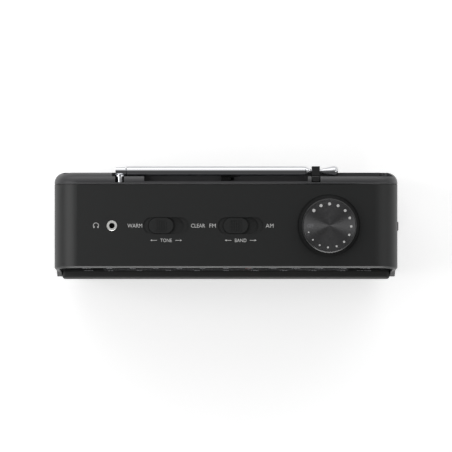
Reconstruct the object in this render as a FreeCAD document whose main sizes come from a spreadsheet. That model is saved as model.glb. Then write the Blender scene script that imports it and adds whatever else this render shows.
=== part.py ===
import FreeCAD, Part
import math
import os
import re
import Sketcher
from FreeCAD import Placement, Rotation, Vector

# A tabletop radio with a telescopic antenna, a needle dial and a round volume knob.
# Frame: X to the right, Y to the back, Z up. The origin lies under the middle of the
# cabinet, on the plane that the feet stand on and below the row of controls.
# Lengths are in millimetres and angles in degrees.

SIZES = {
    # Cabinet: a wrap-round front shell and a shallow back cover that meet at a seam.
    "cab_width": 222,
    "cab_height": 124.8,
    "foot_rise": 1.2,
    "foot_radius": 6,
    "corner_radius": 15.5,
    "wall": 2.4,
    "row_to_edge": 27,
    "row_to_seam": 27,
    "cover_depth": 7.2,
    "cover_round": 6.6,
    "seam_bevel": 0.5,
    "cheek": 3,
    "sill": 6.4,
    "brow": 1.6,
    "frame_depth": 5,
    "open_radius": 12,
    "edge_bevel": 1,
    "dial_drop": 37,
    "dial_lean": 5.3,
    "belly": 3,
    "belly_drop": 5,
    "fit_gap": 0.3,
    "run_gap": 0.05,
    # Screws and the bosses that take them.
    "boss_inset": 9,
    "boss_inset_z": 9.5,
    "boss_radius": 4.5,
    "boss_front": -18,
    "screw_radius": 1.25,
    "screw_length": 14,
    "short_screw": 8,
    "screw_head_radius": 2.8,
    "screw_head": 1.8,
    "screw_seat": 2.9,
    "post_radius": 2.6,
    # Speaker grille, dial window, scale and pointer.
    "grille_proud": 1.7,
    "grille_drop": 1,
    "grille_sheet": 0.9,
    "grille_round": 2.2,
    "hole_radius": 1,
    "hole_pitch": 3.6,
    "lens_inset": 0.4,
    "lens_thick": 2,
    "pointer_behind": 2.9,
    "pointer_thick": 0.6,
    "pointer_width": 2.2,
    "pointer_at": 14.8,
    "pointer_short": 1,
    "scale_behind": 5,
    "scale_thick": 1,
    "scale_rise": 0.5,
    "scale_drop": 2.4,
    "baffle_front": -26,
    "baffle_thick": 2,
    "baffle_gap": 2.6,
    # Chassis that carries the dial drive.
    "chassis_front": -13,
    "chassis_thick": 2,
    "chassis_inset": 3.4,
    "chassis_rise": 1,
    "chassis_gap": 0.6,
    "lug_reach": 38.6,
    "lug_below": 5,
    "ear_thick": 4.2,
    "ear_below": 2,
    "ear_above": 4,
    "ear_front": -22.4,
    "ear_leg": 3,
    "post_drop": 1,
    "scale_post_x": 80,
    "clip_width": 5,
    "clip_sheet": 1.6,
    "clip_inset": 11.5,
    "rail_radius": 1,
    "rail_y": -20.6,
    "rail_below": 4,
    # Tuning drive: wheel, shaft, cord drum, pulleys, gear pair and tuning capacitor.
    "wheel_show": 3,
    "tuning_drop": 13,
    "wheel_radius": 19,
    "wheel_width": 6.5,
    "wheel_y": -0.4,
    "shaft_radius": 2,
    "drum_radius": 12,
    "cord_radius": 0.4,
    "cord_y": -16.5,
    "drum_width": 4.8,
    "flange_rise": 0.8,
    "groove_width": 2,
    "pulley_radius": 4,
    "pulley_width": 3.2,
    "pulley_pin": 1.5,
    "left_pulley_inset": 11.2,
    "right_pulley_reach": 29,
    "gear_module": 0.5,
    "pinion_teeth": 16,
    "gear_teeth": 64,
    "gear_y": 5,
    "gear_width": 3.6,
    "bracket_y": 10,
    "bracket_sheet": 1.6,
    "varicon_side": 20,
    "varicon_depth": 12,
    "varicon_shaft": 1.5,
    # Aerial rod inside the case.
    "rod_radius": 4,
    "rod_out": 2,
    "rod_rise": 7.5,
    "rod_inset": 9.2,
    "rod_length": 90,
    # Volume control.
    "knob_x": 66,
    "knob_radius": 17.3,
    "knob_height": 9,
    "knob_bevel": 0.6,
    "knob_wall": 1.5,
    "knob_dish": 20.1,
    "dish_depth": 1,
    "disc_radius": 16.5,
    "disc_thick": 0.8,
    "pot_radius": 8.5,
    "pot_depth": 10,
    "pot_shaft": 3,
    "tag_pitch": 5,
    "tag_width": 2,
    "tag_reach": 5,
    "bush_radius": 3.5,
    "nut_thick": 1.8,
    "nut_rim": 2.4,
    # Headphone socket.
    "jack_x": -73.2,
    "jack_bore": 1.8,
    "jack_ring": 3.3,
    "jack_ring_rise": 0.6,
    "jack_neck": 2.8,
    "jack_side": 11,
    "jack_depth": 14,
    # Slide switches for tone and waveband.
    "tone_x": -38.5,
    "band_x": 9.4,
    "switch_dish": 29.3,
    "switch_width": 10.9,
    "switch_dip": 0.9,
    "switch_slot": 22.9,
    "switch_travel": 6.5,
    "cap_length": 15.8,
    "cap_width": 9.8,
    "cap_ridge": 0.4,
    "shield_length": 30,
    "shield_width": 12,
    "stem_side": 3,
    "switch_body": 26,
    "switch_body_width": 10,
    "switch_body_rise": 7.4,
    # Circuit boards.
    "board_thick": 1.6,
    "board_left": 16.8,
    "board_right": 20.6,
    "control_front": -12.6,
    "control_back": 16.5,
    "control_post_front": -9.6,
    "control_post_back": 13,
    "post_left": 11.8,
    "post_right": 16.6,
    "main_gap": 1,
    "main_front": 3,
    "main_behind": 2,
    "main_rise": 10.4,
    "parts_row": 15.5,
    "can_side": 7,
    "can_height": 12,
    "can_hole": 1.6,
    "can_x": -16,
    "can_pitch": 14,
    "main_post_inset": 6,
    "main_post_front": 6.5,
    "main_post_back": 23.6,
    # Loudspeaker.
    "speaker_x": -45,
    "speaker_margin": 1.9,
    "speaker_lift": 0.5,
    "speaker_rim": 3.5,
    "basket_sheet": 1.2,
    "basket_depth": 14,
    "basket_back": 22,
    "magnet_radius": 21,
    "magnet_hole": 11,
    "magnet_thick": 6.6,
    "yoke_radius": 19.5,
    "yoke_thick": 2,
    "pole_radius": 7.6,
    "coil_inner": 8.1,
    "coil_wall": 0.5,
    "cone_sheet": 0.5,
    "surround_roll": 2,
    # Mains transformer and inlet.
    "plate_inset": 13.6,
    "core_width": 34,
    "core_height": 32,
    "core_thick": 14,
    "core_leg": 7,
    "core_front": -4,
    "coil_overhang": 6,
    "plate_reach": 4,
    "inlet_inset": 27,
    "inlet_z": 21,
    "inlet_width": 20,
    "inlet_height": 12,
    "inlet_depth": 14,
    "inlet_recess": 11,
    "inlet_lobe": 3.6,
    "inlet_pin": 1.2,
    "inlet_pitch": 8.6,
    # Batteries, their box and door.
    "cell_radius": 13.1,
    "cell_length": 50,
    "cell_gap": 0.2,
    "cell_room": 1.2,
    "bay_gap": 1.8,
    "box_wall": 1.6,
    "box_gap": 0.4,
    "cell_slack": 0.4,
    "shelf": 1.2,
    "spring_length": 4.2,
    "spring_radius": 4,
    "spring_wire": 0.4,
    "contact_sheet": 0.5,
    "door_inset": 2,
    "door_lip": 1.4,
    "door_thick": 2.2,
    "door_swing": 0.75,
    "hinge_gap": 0.6,
    "hinge_pin": 1.2,
    "hinge_reach": 4,
    # Telescopic antenna, its bed in the back cover and the battery latch beside it.
    "antenna_x": -68.3,
    "antenna_out": 0.9,
    "antenna_drop": 5.4,
    "tube_radius": 2.95,
    "tube_sheet": 0.35,
    "tube_step": 0.5,
    "fold_pin": 0.9,
    "tongue_radius": 1.9,
    "tube_start": 4.2,
    "tube_length": 115.4,
    "tube_nest": 2,
    "tube_show": 1,
    "tip_shank": 1.1,
    "tip_gap": 0.6,
    "tip_length": 11.1,
    "tip_radius": 3.1,
    "clip_half": 3.1,
    "neck_gap": 3.9,
    "cradle_width": 5.1,
    "cradle_drop": 1.4,
    "bed_gap": 0.45,
    "bed_run": 5,
    "rail_thick": 2,
    "notch_depth": 3.1,
    "notch_step": 1.6,
    "pivot_radius": 1.55,
    "pivot_reach": 10,
    "pivot_boss": 2.9,
    "barrel_radius": 2.55,
    "flange_thick": 0.6,
    "fork_reach": 4.05,
    "fork_left": 2.7,
    "fork_sweep": 4.4,
    "latch_half": 3.2,
    "latch_travel": 3.5,
    "keeper_left": 4,
    "keeper_right": 8,
}

doc = FreeCAD.newDocument("Radio")
sheet = doc.addObject("Spreadsheet::Sheet", "Sizes")
for row, (word, number) in enumerate(SIZES.items(), start=1):
    sheet.set(f"A{row}", word)
    sheet.set(f"B{row}", str(number))
    sheet.setAlias(f"B{row}", word)
doc.recompute()

# Places that several sub-parts share, as expressions of the sizes above.
TOP = "(foot_rise + cab_height)"
DECK = f"({TOP} - wall)"
HALF = "(cab_width / 2)"
SIDE = f"({HALF} - wall)"
FLOOR = "(foot_rise + wall)"
SEAM = "row_to_seam"
BACK = "(row_to_seam + cover_depth)"
BACK_IN = f"({BACK} - wall)"
EDGE = "(-row_to_edge)"
FRAME = f"({EDGE} + frame_depth)"
OPEN_X = f"({HALF} - cheek)"
OPEN_FOOT = "(foot_rise + sill)"
OPEN_HEAD = f"({TOP} - brow)"
LEDGE = f"({TOP} - dial_drop)"
LEDGE_Y = f"({EDGE} - dial_drop * tan(dial_lean))"
BELLY = f"({LEDGE_Y} - belly)"
GRILLE = f"({BELLY} - grille_proud)"
GRILLE_TOP = f"({LEDGE} - grille_drop)"
PANE_X = f"({OPEN_X} - fit_gap)"
SCALE_HEAD = f"({OPEN_HEAD} - scale_drop)"
POINTER_HEAD = f"({SCALE_HEAD} - pointer_short)"
BOSS_X = f"({HALF} - boss_inset)"
BOSS_HEAD = f"({TOP} - boss_inset_z)"
BOSS_FOOT = "(foot_rise + boss_inset_z)"

# The board under the top panel, from the socket on its left to the last switch.
CONTROL_TOP = f"({DECK} - jack_depth)"
CONTROL_FOOT = f"({CONTROL_TOP} - board_thick)"
CONTROL_LEFT = "(jack_x - board_left)"
CONTROL_RIGHT = "(band_x + board_right)"
CONTROL_POST_LEFT = "(jack_x - post_left)"
CONTROL_POST_RIGHT = "(band_x + post_right)"

# The dial drive hangs below the dial's ledge and reaches in from the wheel's side.
TUNING_X = f"({HALF} + wheel_show - wheel_radius)"
TUNING_Z = f"({LEDGE} - tuning_drop)"
UPPER_RUN = f"({TUNING_Z} + drum_radius)"
RAIL_Z = f"({UPPER_RUN} - rail_below)"
BAFFLE_BACK = "(baffle_front + baffle_thick)"
BAFFLE_TOP = f"({RAIL_Z} - baffle_gap)"
CHASSIS_BACK = "(chassis_front + chassis_thick)"
CHASSIS_FOOT = f"({LEDGE} + chassis_rise)"
CHASSIS_HEAD = f"({CONTROL_FOOT} - screw_head - chassis_gap)"
CHASSIS_HALF = f"({SIDE} - chassis_inset)"
SCALE_FOOT = f"({CHASSIS_FOOT} + scale_rise)"
POST_HEIGHT = f"({CHASSIS_HEAD} - post_radius - post_drop)"
EAR_INNER = f"({CHASSIS_HALF} - ear_thick)"
EAR_FOOT = f"({RAIL_Z} - ear_below)"
EAR_HEAD = f"({CHASSIS_FOOT} + ear_above)"
LUG_LEFT = f"({TUNING_X} - lug_reach)"
LUG_FOOT = f"({TUNING_Z} - wheel_radius - lug_below)"
LEFT_PULLEY_X = f"(left_pulley_inset - {CHASSIS_HALF})"
LEFT_PULLEY_Z = f"({UPPER_RUN} - pulley_radius)"
RIGHT_PULLEY_X = f"({TUNING_X} - right_pulley_reach)"
RIGHT_PULLEY_Z = f"({UPPER_RUN} - 3 * pulley_radius)"
VARICON_X = f"({TUNING_X} - gear_module * (pinion_teeth + gear_teeth) / 2)"
BRACKET_BACK = "(bracket_y + bracket_sheet)"
ROD_START = f"(rod_inset - {CHASSIS_HALF})"
ROD_Y = f"({CHASSIS_BACK} + rod_radius + rod_out)"
ROD_Z = f"({CHASSIS_FOOT} + rod_rise)"

# Knob, loudspeaker and mains supply.
DISH_FLOOR = f"({TOP} - dish_depth)"
KNOB_TOP = f"({TOP} + knob_height)"
BUSH_TOP = f"({DISH_FLOOR} + nut_thick + 0.4)"
SPEAKER_Z = f"(({BAFFLE_TOP} + {OPEN_FOOT}) / 2 + speaker_lift)"
SPEAKER_RADIUS = f"(({BAFFLE_TOP} - {OPEN_FOOT}) / 2 - speaker_margin)"
SPEAKER_HOLE = f"({SPEAKER_RADIUS} - speaker_rim)"
BASKET_BACK = f"({BAFFLE_BACK} + basket_depth)"
MAGNET_BACK = f"({BASKET_BACK} + magnet_thick)"
CORE_X = f"({SIDE} - plate_inset - plate_reach - core_width / 2)"
MAIN_HALF = f"({CORE_X} - core_width / 2 - main_gap)"
MAIN_POST_X = f"({MAIN_HALF} - main_post_inset)"
MAIN_BACK = f"({SEAM} + main_behind)"
INLET_X = f"({HALF} - inlet_inset)"

# Antenna in its bed on the back cover, and the latch's notch below it.
ANTENNA_Y = f"({BACK} + antenna_out)"
ANTENNA_Z = f"({TOP} - antenna_drop)"
BED_LEFT = "(antenna_x - bed_run)"
BED_FRONT = f"({ANTENNA_Y} - tube_radius - bed_gap)"
BED_FLOOR = f"({ANTENNA_Z} - tube_radius - bed_gap)"
NOTCH_FRONT = f"({BED_FRONT} - notch_depth)"
NOTCH_FLOOR = f"({BED_FLOOR} - notch_step)"
RAIL_FOOT = f"({NOTCH_FLOOR} - rail_thick)"
PIVOT_FRONT = f"({SEAM} - pivot_reach)"
NECK = "(antenna_x + tube_start + tube_length)"
CRADLE_LEFT = f"({NECK} + neck_gap)"
CRADLE_RIGHT = f"({CRADLE_LEFT} + cradle_width)"
CRADLE_HEAD = f"({TOP} - cradle_drop)"
TIP_START = f"({CRADLE_RIGHT} + tip_gap)"
TIP_END = f"({TIP_START} + tip_length)"

# Battery bay: two rows of cells under the control board, left of the dial drive.
BOX_HALF = "(cell_length + spring_length / 2 + contact_sheet + cell_slack + box_wall)"
BAY_X = f"({LUG_LEFT} - bay_gap - {BOX_HALF})"
BOX_FRONT = f"({BACK_IN} - 2 * cell_radius - box_wall - cell_room)"
BOX_IN = f"({BOX_HALF} - box_wall)"
BOX_HEAD = f"({CONTROL_FOOT} - screw_head - box_gap)"
UPPER_CELLS = f"({BOX_HEAD} - box_wall - cell_gap - cell_radius)"
SHELF_FOOT = f"({UPPER_CELLS} - cell_radius - cell_gap - shelf)"
LOWER_CELLS = f"({SHELF_FOOT} - cell_gap - cell_radius)"
BOX_FOOT = f"({LOWER_CELLS} - cell_radius - cell_gap - box_wall)"
CELL_Y = f"({BOX_FRONT} + box_wall + cell_gap + cell_radius)"
HINGE_Z = f"({BOX_FOOT} - hinge_gap - hinge_pin)"
DOOR_HALF = f"({BOX_HALF} - door_inset)"
DOOR_FOOT = f"({HINGE_Z} - door_lip)"
DOOR_HEAD = f"({RAIL_FOOT} - fit_gap)"
DOOR_FRONT = f"({BACK} - door_thick)"
HINGE_Y = f"({DOOR_FRONT} + 0.6)"

# Electrolytic capacitors on the main board: place along X, radius and height.
CAPACITORS = [(16, 6.5, 18), (33, 5, 14), (-43, 4, 11)]

# Screws through the chassis and through the bracket: places across and up.
CHASSIS_SCREWS = [
    (f"-{BOSS_X}", f"{CHASSIS_FOOT} + 9"),
    (BOSS_X, f"{CHASSIS_FOOT} + 9"),
    (BOSS_X, f"{LUG_FOOT} + 6"),
]
BRACKET_SCREWS = [
    (f"{LUG_LEFT} + 6.6", f"{LUG_FOOT} + 12"),
    (f"{LUG_LEFT} + 6.6", RAIL_Z),
]

parts = {}
counter = {}


def link(text):
    """Turn the names of sizes in an expression into references to their cells."""
    return re.sub(
        r"[a-z][a-z0-9_]*",
        lambda found: f"Sizes.{found[0]}" if found[0] in SIZES else found[0],
        str(text),
    )


def value(text):
    """Work out an expression of sizes as a number."""
    return float(sheet.evalExpression(link(text)))


def bind(item, name, text):
    """Bind one property of a feature to an expression of sizes."""
    item.setExpression(name, link(text))


def fresh(stem):
    """Give each feature of a kind a number of its own."""
    counter[stem] = counter.get(stem, 0) + 1
    return f"{stem}{counter[stem]}"


def new_body(label, kept=True):
    """Start a body; the kept ones are the sub-parts that are written out."""
    body = doc.addObject("PartDesign::Body", fresh("Body"))
    body.Label = label
    if kept:
        parts[label] = body
    return body


def origin_plane(body, role):
    """Find one of a body's own origin planes."""
    return next(plane for plane in body.Origin.OriginFeatures if plane.Role == role)


class Kit:
    """Blocks and cylinders that are fused to a base solid, then the ones cut from it."""

    def __init__(self, base=None):
        self.added = [base] if base else []
        self.taken = []

    def newObject(self, kind, name):
        """Make a primitive for the helpers below and keep it on its list."""
        plain = {"Box": "Part::Box", "Cylinder": "Part::Cylinder"}
        item = doc.addObject(plain[re.sub("PartDesign::(Additive|Subtractive)", "", kind)], name)
        (self.taken if "Subtractive" in kind else self.added).append(item)
        return item

    def finish(self, label):
        """Join the lists into one sub-part."""
        whole = doc.addObject("Part::MultiFuse", fresh("Joined"))
        whole.Shapes = self.added
        if self.taken:
            tools = doc.addObject("Part::MultiFuse", fresh("Tools"))
            tools.Shapes = self.taken
            cut = doc.addObject("Part::Cut", fresh("Cut"))
            cut.Base = whole
            cut.Tool = tools
            whole = cut
        whole.Label = label
        parts[label] = whole


TURNS = {
    "X": Rotation(Vector(0, 1, 0), 90),
    "Y": Rotation(Vector(1, 0, 0), -90),
    "Z": Rotation(),
}


def block(body, x, y, z, cut=False):
    """Add or cut a block that lies between two limits along each axis."""
    kind = "Subtractive" if cut else "Additive"
    item = body.newObject(f"PartDesign::{kind}Box", fresh("Block"))
    for name, letter, (low, high) in zip(("Length", "Width", "Height"), "xyz", (x, y, z)):
        bind(item, name, f"({high}) - ({low})")
        bind(item, f".Placement.Base.{letter}", low)
    return item


def rod(body, axis, centre, span, radius, cut=False):
    """Add or cut a cylinder along an axis; centre holds its two other coordinates."""
    kind = "Subtractive" if cut else "Additive"
    item = body.newObject(f"PartDesign::{kind}Cylinder", fresh("Rod"))
    bind(item, "Radius", radius)
    bind(item, "Height", f"({span[1]}) - ({span[0]})")
    item.Placement = Placement(Vector(), TURNS[axis])
    across = iter(centre)
    for letter in "xyz":
        at = span[0] if letter == axis.lower() else next(across)
        bind(item, f".Placement.Base.{letter}", at)
    return item


def slot(body, centre, length, width, z, cut=False):
    """Add or cut a round-ended slot that lies along X and reaches between two heights."""
    reach = f"(({length}) - ({width})) / 2"
    x, y = centre
    limits = (f"{y} - ({width}) / 2", f"{y} + ({width}) / 2")
    block(body, (f"{x} - {reach}", f"{x} + {reach}"), limits, z, cut)
    for sign in "-+":
        rod(body, "Z", (f"{x} {sign} {reach}", y), z, f"({width}) / 2", cut)


def outline(body, role, points, offset=("0", "0", "0")):
    """Draw a closed polygon whose every corner is held by the sizes."""
    sketch = body.newObject("Sketcher::SketchObject", fresh("Sketch"))
    sketch.AttachmentSupport = [(origin_plane(body, role), "")]
    sketch.MapMode = "FlatFace"
    for letter, text in zip("xyz", offset):
        bind(sketch, f".AttachmentOffset.Base.{letter}", text)
    corners = [spot(across, up) for across, up in points]
    count = len(points)
    for index in range(count):
        sketch.addGeometry(Part.LineSegment(corners[index], corners[(index + 1) % count]), False)
    for index in range(count):
        sketch.addConstraint(Sketcher.Constraint("Coincident", index, 2, (index + 1) % count, 1))
    for index, place in enumerate(points):
        hold_point(sketch, (index, 1), place)
    return sketch


def prism(body, points, x, cut=False):
    """Pad or pocket a polygon of (y, z) corners between two limits along X."""
    sketch = outline(body, "YZ_Plane", points, ("0", "0", x[0]))
    item = body.newObject("PartDesign::Pocket" if cut else "PartDesign::Pad", fresh("Prism"))
    item.Profile = sketch
    bind(item, "Length", f"({x[1]}) - ({x[0]})")
    item.Reversed = cut
    return item


def slab(body, half, y, z, radii, cut=False):
    """Add or cut a slab, even about x = 0, with its own corner radii at the foot and head."""
    sketch = body.newObject("Sketcher::SketchObject", fresh("Sketch"))
    sketch.AttachmentSupport = [(origin_plane(body, "XZ_Plane"), "")]
    sketch.MapMode = "FlatFace"
    bind(sketch, ".AttachmentOffset.Base.z", f"-({y[1]})")
    foot, head = radii
    corners = [
        ("-", z[0], foot, "+"),
        ("+", z[0], foot, "+"),
        ("+", z[1], head, "-"),
        ("-", z[1], head, "-"),
    ]
    stops = []
    for number, (side, height, radius, inward) in enumerate(corners):
        upright = (f"{side}({half})", f"{height} {inward} ({radius})")
        level = (f"{side}({half} - ({radius}))", height)
        stops.append((upright, level) if number % 2 == 0 else (level, upright))
    for number in range(4):
        ends = (stops[number][1], stops[(number + 1) % 4][0])
        sketch.addGeometry(Part.LineSegment(*[spot(across, up) for across, up in ends]), False)
    for number, (side, height, radius, inward) in enumerate(corners):
        before = (number + 3) % 4
        hold_point(sketch, (number, 1), stops[number][1])
        if value(radius) > 0:
            hold_point(sketch, (before, 2), stops[number][0])
            centre = spot(f"{side}({half} - ({radius}))", f"{height} {inward} ({radius})")
            corner_arc(sketch, centre, radius, number)
        else:
            sketch.addConstraint(Sketcher.Constraint("Coincident", before, 2, number, 1))
    item = body.newObject("PartDesign::Pocket" if cut else "PartDesign::Pad", fresh("Slab"))
    item.Profile = sketch
    bind(item, "Length", f"({y[1]}) - ({y[0]})")
    item.Reversed = cut
    return item


def spot(across, up):
    """Work out a point of a sketch."""
    return Vector(value(across), value(up), 0)


def hold(sketch, kind, picked, text, number):
    """Add one dimension to a sketch and bind it to an expression of sizes."""
    held = sketch.addConstraint(Sketcher.Constraint(kind, *picked, number))
    bind(sketch, f"Constraints[{held}]", text)


def hold_point(sketch, end, place):
    """Hold one end of a line in a sketch at a place given by the sizes."""
    across, up = place
    hold(sketch, "DistanceX", (-1, 1, *end), across, value(across))
    hold(sketch, "DistanceY", (-1, 1, *end), up, value(up))


def corner_arc(sketch, centre, radius, number):
    """Round one corner of a slab, between the line that enters it and the line that leaves."""
    start = math.pi + number * math.pi / 2
    circle = Part.Circle(centre, Vector(0, 0, 1), value(radius))
    arc = sketch.addGeometry(Part.ArcOfCircle(circle, start, start + math.pi / 2), False)
    sketch.addConstraint(Sketcher.Constraint("Coincident", (number + 3) % 4, 2, arc, 1))
    sketch.addConstraint(Sketcher.Constraint("Coincident", arc, 2, number, 1))
    hold(sketch, "Radius", (arc,), radius, value(radius))


def turned(body, axis, centre, points, cut=False):
    """Turn a polygon of (along, radius) corners about a line parallel to an axis."""
    first, second = centre
    if axis == "Z":
        points = [(radius, along) for along, radius in points]
        sketch = outline(body, "XZ_Plane", points, (first, "0", f"-({second})"))
    elif axis == "Y":
        sketch = outline(body, "YZ_Plane", points, ("0", second, first))
    else:
        sketch = outline(body, "XZ_Plane", points, ("0", second, f"-({first})"))
    kind = "Groove" if cut else "Revolution"
    item = body.newObject(f"PartDesign::{kind}", fresh("Turned"))
    item.Profile = sketch
    item.ReferenceAxis = (sketch, ["V_Axis" if axis == "Z" else "H_Axis"])
    item.Angle = 360
    return item


def tube(body, axis, centre, span, outer, inner, cut=False):
    """Turn a plain ring or pipe between two radii."""
    low, high = span
    return turned(body, axis, centre, [(low, inner), (high, inner), (high, outer), (low, outer)], cut)


def edges_where(body, wanted):
    """Name the edges of a body's newest feature that a test picks out."""
    doc.recompute()
    edges = body.Tip.Shape.Edges
    return [f"Edge{number}" for number, edge in enumerate(edges, start=1) if wanted(edge)]


def dress(body, kind, size, wanted):
    """Round or bevel the picked edges by a size."""
    names = edges_where(body, wanted)
    if not names:
        raise ValueError(f"no edges found on {body.Label}")
    base = body.Tip
    item = body.newObject(f"PartDesign::{kind}", fresh(kind))
    item.Base = (base, names)
    bind(item, "Radius" if kind == "Fillet" else "Size", size)
    return item


def near(number, text):
    """Tell whether a coordinate is at the place that an expression gives."""
    return abs(number - value(text)) < 0.01


def along(edge, letter):
    """Tell whether a straight edge runs along an axis."""
    if not isinstance(edge.Curve, Part.Line):
        return False
    return abs(abs(getattr(edge.Curve.Direction, letter.lower())) - 1) < 0.0001


def at_corner(half_x, *heights):
    """Pick edges along Y at the left and right ends of some heights."""

    def wanted(edge):
        middle = edge.CenterOfMass
        return (
            along(edge, "Y")
            and near(abs(middle.x), half_x)
            and any(near(middle.z, height) for height in heights)
        )

    return wanted


def dial_y(height, behind):
    """Give the depth of a point some way behind the leaning front of the dial."""
    return f"({EDGE} - ({TOP} - ({height})) * tan(dial_lean) + ({behind}))"


# ---- Cabinet ----


def front_cabinet():
    """The shell that wraps round the top, sides and bottom, with the frame of the front."""
    body = new_body("cabinet_shell", kept=False)
    outer = ("corner_radius", "corner_radius")
    inner = ("corner_radius - wall", "corner_radius - wall")
    opening = ("open_radius", "open_radius")
    slab(body, HALF, (BELLY, SEAM), ("foot_rise", TOP), outer)
    dress(body, "Chamfer", "seam_bevel", lambda edge: near(edge.BoundBox.YMin, SEAM))
    slab(body, SIDE, (FRAME, SEAM), (FLOOR, DECK), inner, cut=True)
    slab(body, OPEN_X, (BELLY, FRAME), (OPEN_FOOT, OPEN_HEAD), opening, cut=True)
    lean_away = [
        (EDGE, f"{TOP} + wall"),
        (EDGE, TOP),
        (LEDGE_Y, LEDGE),
        (BELLY, f"{LEDGE} - belly_drop"),
        (f"{BELLY} - wall", f"{LEDGE} - belly_drop"),
        (f"{BELLY} - wall", f"{TOP} + wall"),
    ]
    prism(body, lean_away, (f"-{HALF}", HALF), cut=True)
    dress(body, "Chamfer", "edge_bevel", on_top_edge)
    kit = Kit(body)
    for side in "-+":
        cabinet_bosses(kit, side)
    chassis_lugs(kit)
    hanging_posts(kit)
    board_posts(kit)
    deck_openings(kit)
    wheel_slot(kit)
    kit.finish("front_cabinet")


def wheel_slot(kit):
    """The slot in the right side for the edge of the tuning wheel."""
    reach = "(wheel_radius + 2 * fit_gap)"
    chord = f"sqrt({reach}^2 - ({SIDE} - {TUNING_X})^2)"
    half = "(wheel_width / 2 + fit_gap)"
    wheel_y = (f"wheel_y - {half}", f"wheel_y + {half}")
    wheel_z = (f"{TUNING_Z} - {chord}", f"{TUNING_Z} + {chord}")
    block(kit, (f"{SIDE} - fit_gap", f"{HALF} + fit_gap"), wheel_y, wheel_z, cut=True)


def on_top_edge(edge):
    """Pick the long edge where the top panel meets the front."""
    middle = edge.CenterOfMass
    return along(edge, "X") and near(middle.z, TOP) and near(middle.y, EDGE)


def cabinet_bosses(kit, side):
    """One side's two bosses for the screws of the back cover."""
    for height in (BOSS_HEAD, BOSS_FOOT):
        centre = (f"{side}{BOSS_X}", height)
        rod(kit, "Y", centre, ("boss_front", f"{SEAM} - fit_gap"), "boss_radius")
        hole = (f"{SEAM} - screw_length", SEAM)
        rod(kit, "Y", centre, hole, "screw_radius + run_gap", cut=True)


def chassis_lugs(kit):
    """Blocks on the side walls that the chassis is screwed to."""
    for x, height in CHASSIS_SCREWS:
        if value(x) > 0:
            reach = (f"{x} - 3", f"{SIDE} + wall / 2")
        else:
            reach = (f"-({SIDE} + wall / 2)", f"{x} + 3")
        depth = ("chassis_front - short_screw + chassis_thick - 1", "chassis_front")
        block(kit, reach, depth, (f"{height} - 3.5", f"{height} + 3.5"))
        rod(kit, "Y", (x, height), (f"{depth[0]} + 0.5", depth[1]), "screw_radius + run_gap", cut=True)


def hanging_posts(kit):
    """Posts under the top panel that carry the control board."""
    for x in (CONTROL_POST_LEFT, CONTROL_POST_RIGHT):
        for y in ("control_post_front", "control_post_back"):
            rod(kit, "Z", (x, y), (CONTROL_TOP, f"{DECK} + wall / 2"), "post_radius")
            span = (CONTROL_TOP, f"{CONTROL_TOP} + short_screw - 1")
            rod(kit, "Z", (x, y), span, "screw_radius + run_gap", cut=True)


def board_posts(kit):
    """Posts on the floor that carry the main board."""
    for x in (f"-{MAIN_POST_X}", MAIN_POST_X):
        for y in ("main_post_front", "main_post_back"):
            rod(kit, "Z", (x, y), ("foot_rise + wall / 2", "main_rise"), "post_radius")
            span = ("main_rise - short_screw + 1", "main_rise")
            rod(kit, "Z", (x, y), span, "screw_radius + run_gap", cut=True)


def deck_openings(kit):
    """The knob's dish, the socket's hole and the two switch openings in the top."""
    above = f"{TOP} + fit_gap"
    rod(kit, "Z", ("knob_x", "0"), (DISH_FLOOR, above), "knob_dish", cut=True)
    bush = "bush_radius + run_gap"
    rod(kit, "Z", ("knob_x", "0"), (f"{DECK} - fit_gap", above), bush, cut=True)
    neck = "jack_neck + run_gap"
    rod(kit, "Z", ("jack_x", "0"), (f"{DECK} - fit_gap", above), neck, cut=True)
    for x in ("tone_x", "band_x"):
        slot(kit, (x, "0"), "switch_dish", "switch_width", (f"{TOP} - switch_dip", above), cut=True)
        through = (f"{DECK} - fit_gap", above)
        slot(kit, (x, "0"), "switch_slot", "cap_width + 2 * fit_gap", through, cut=True)
    for x in ("-1", "1"):
        for y in ("-1", "1"):
            centre = (f"{x} * ({BOSS_X} - boss_radius)", f"{y} * row_to_seam * 0.7")
            span = ("foot_rise", "foot_rise + wall / 2")
            rod(kit, "Z", centre, span, "foot_radius", cut=True)


def back_cover():
    """The shallow back with pillow edges, a solid top rail, a door opening and an inlet."""
    body = new_body("cover_shell", kept=False)
    slab(body, HALF, (SEAM, BACK), ("foot_rise", TOP), ("corner_radius", "corner_radius"))
    dress(body, "Fillet", "cover_round", lambda edge: near(edge.BoundBox.YMin, BACK))
    hollow = (FLOOR, RAIL_FOOT)
    slab(body, f"({SIDE} - 1)", (SEAM, BACK_IN), hollow, ("corner_radius - wall", "0"), cut=True)
    dress(body, "Fillet", "cover_round - wall", in_the_bottom_bend)
    kit = Kit(body)
    for side in "-+":
        cover_screw_seats(kit, side)
        hinge_cheek(kit, side)
    antenna_bed(kit)
    latch_notch(kit)
    cut_y = (f"{BACK_IN} - fit_gap", f"{BACK} + fit_gap")
    door_gap = f"({DOOR_HALF} + fit_gap)"
    door_z = (f"{DOOR_FOOT} - door_swing", f"{DOOR_HEAD} + fit_gap")
    block(kit, bay(f"-{door_gap}", door_gap), cut_y, door_z, cut=True)
    for side in "-+":
        reach = bay(f"{side}{DOOR_HALF}", f"{side}({DOOR_HALF} + hinge_reach + fit_gap)")
        span = sorted(reach, key=value)
        rod(kit, "X", (HINGE_Y, HINGE_Z), span, "hinge_pin + run_gap", cut=True)
    inlet_x = (f"{INLET_X} - inlet_width / 2 - run_gap", f"{INLET_X} + inlet_width / 2 + run_gap")
    inlet_z = ("inlet_z - inlet_height / 2 - run_gap", "inlet_z + inlet_height / 2 + run_gap")
    block(kit, inlet_x, cut_y, inlet_z, cut=True)
    vents(kit, cut_y)
    kit.finish("back_cover")


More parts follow.
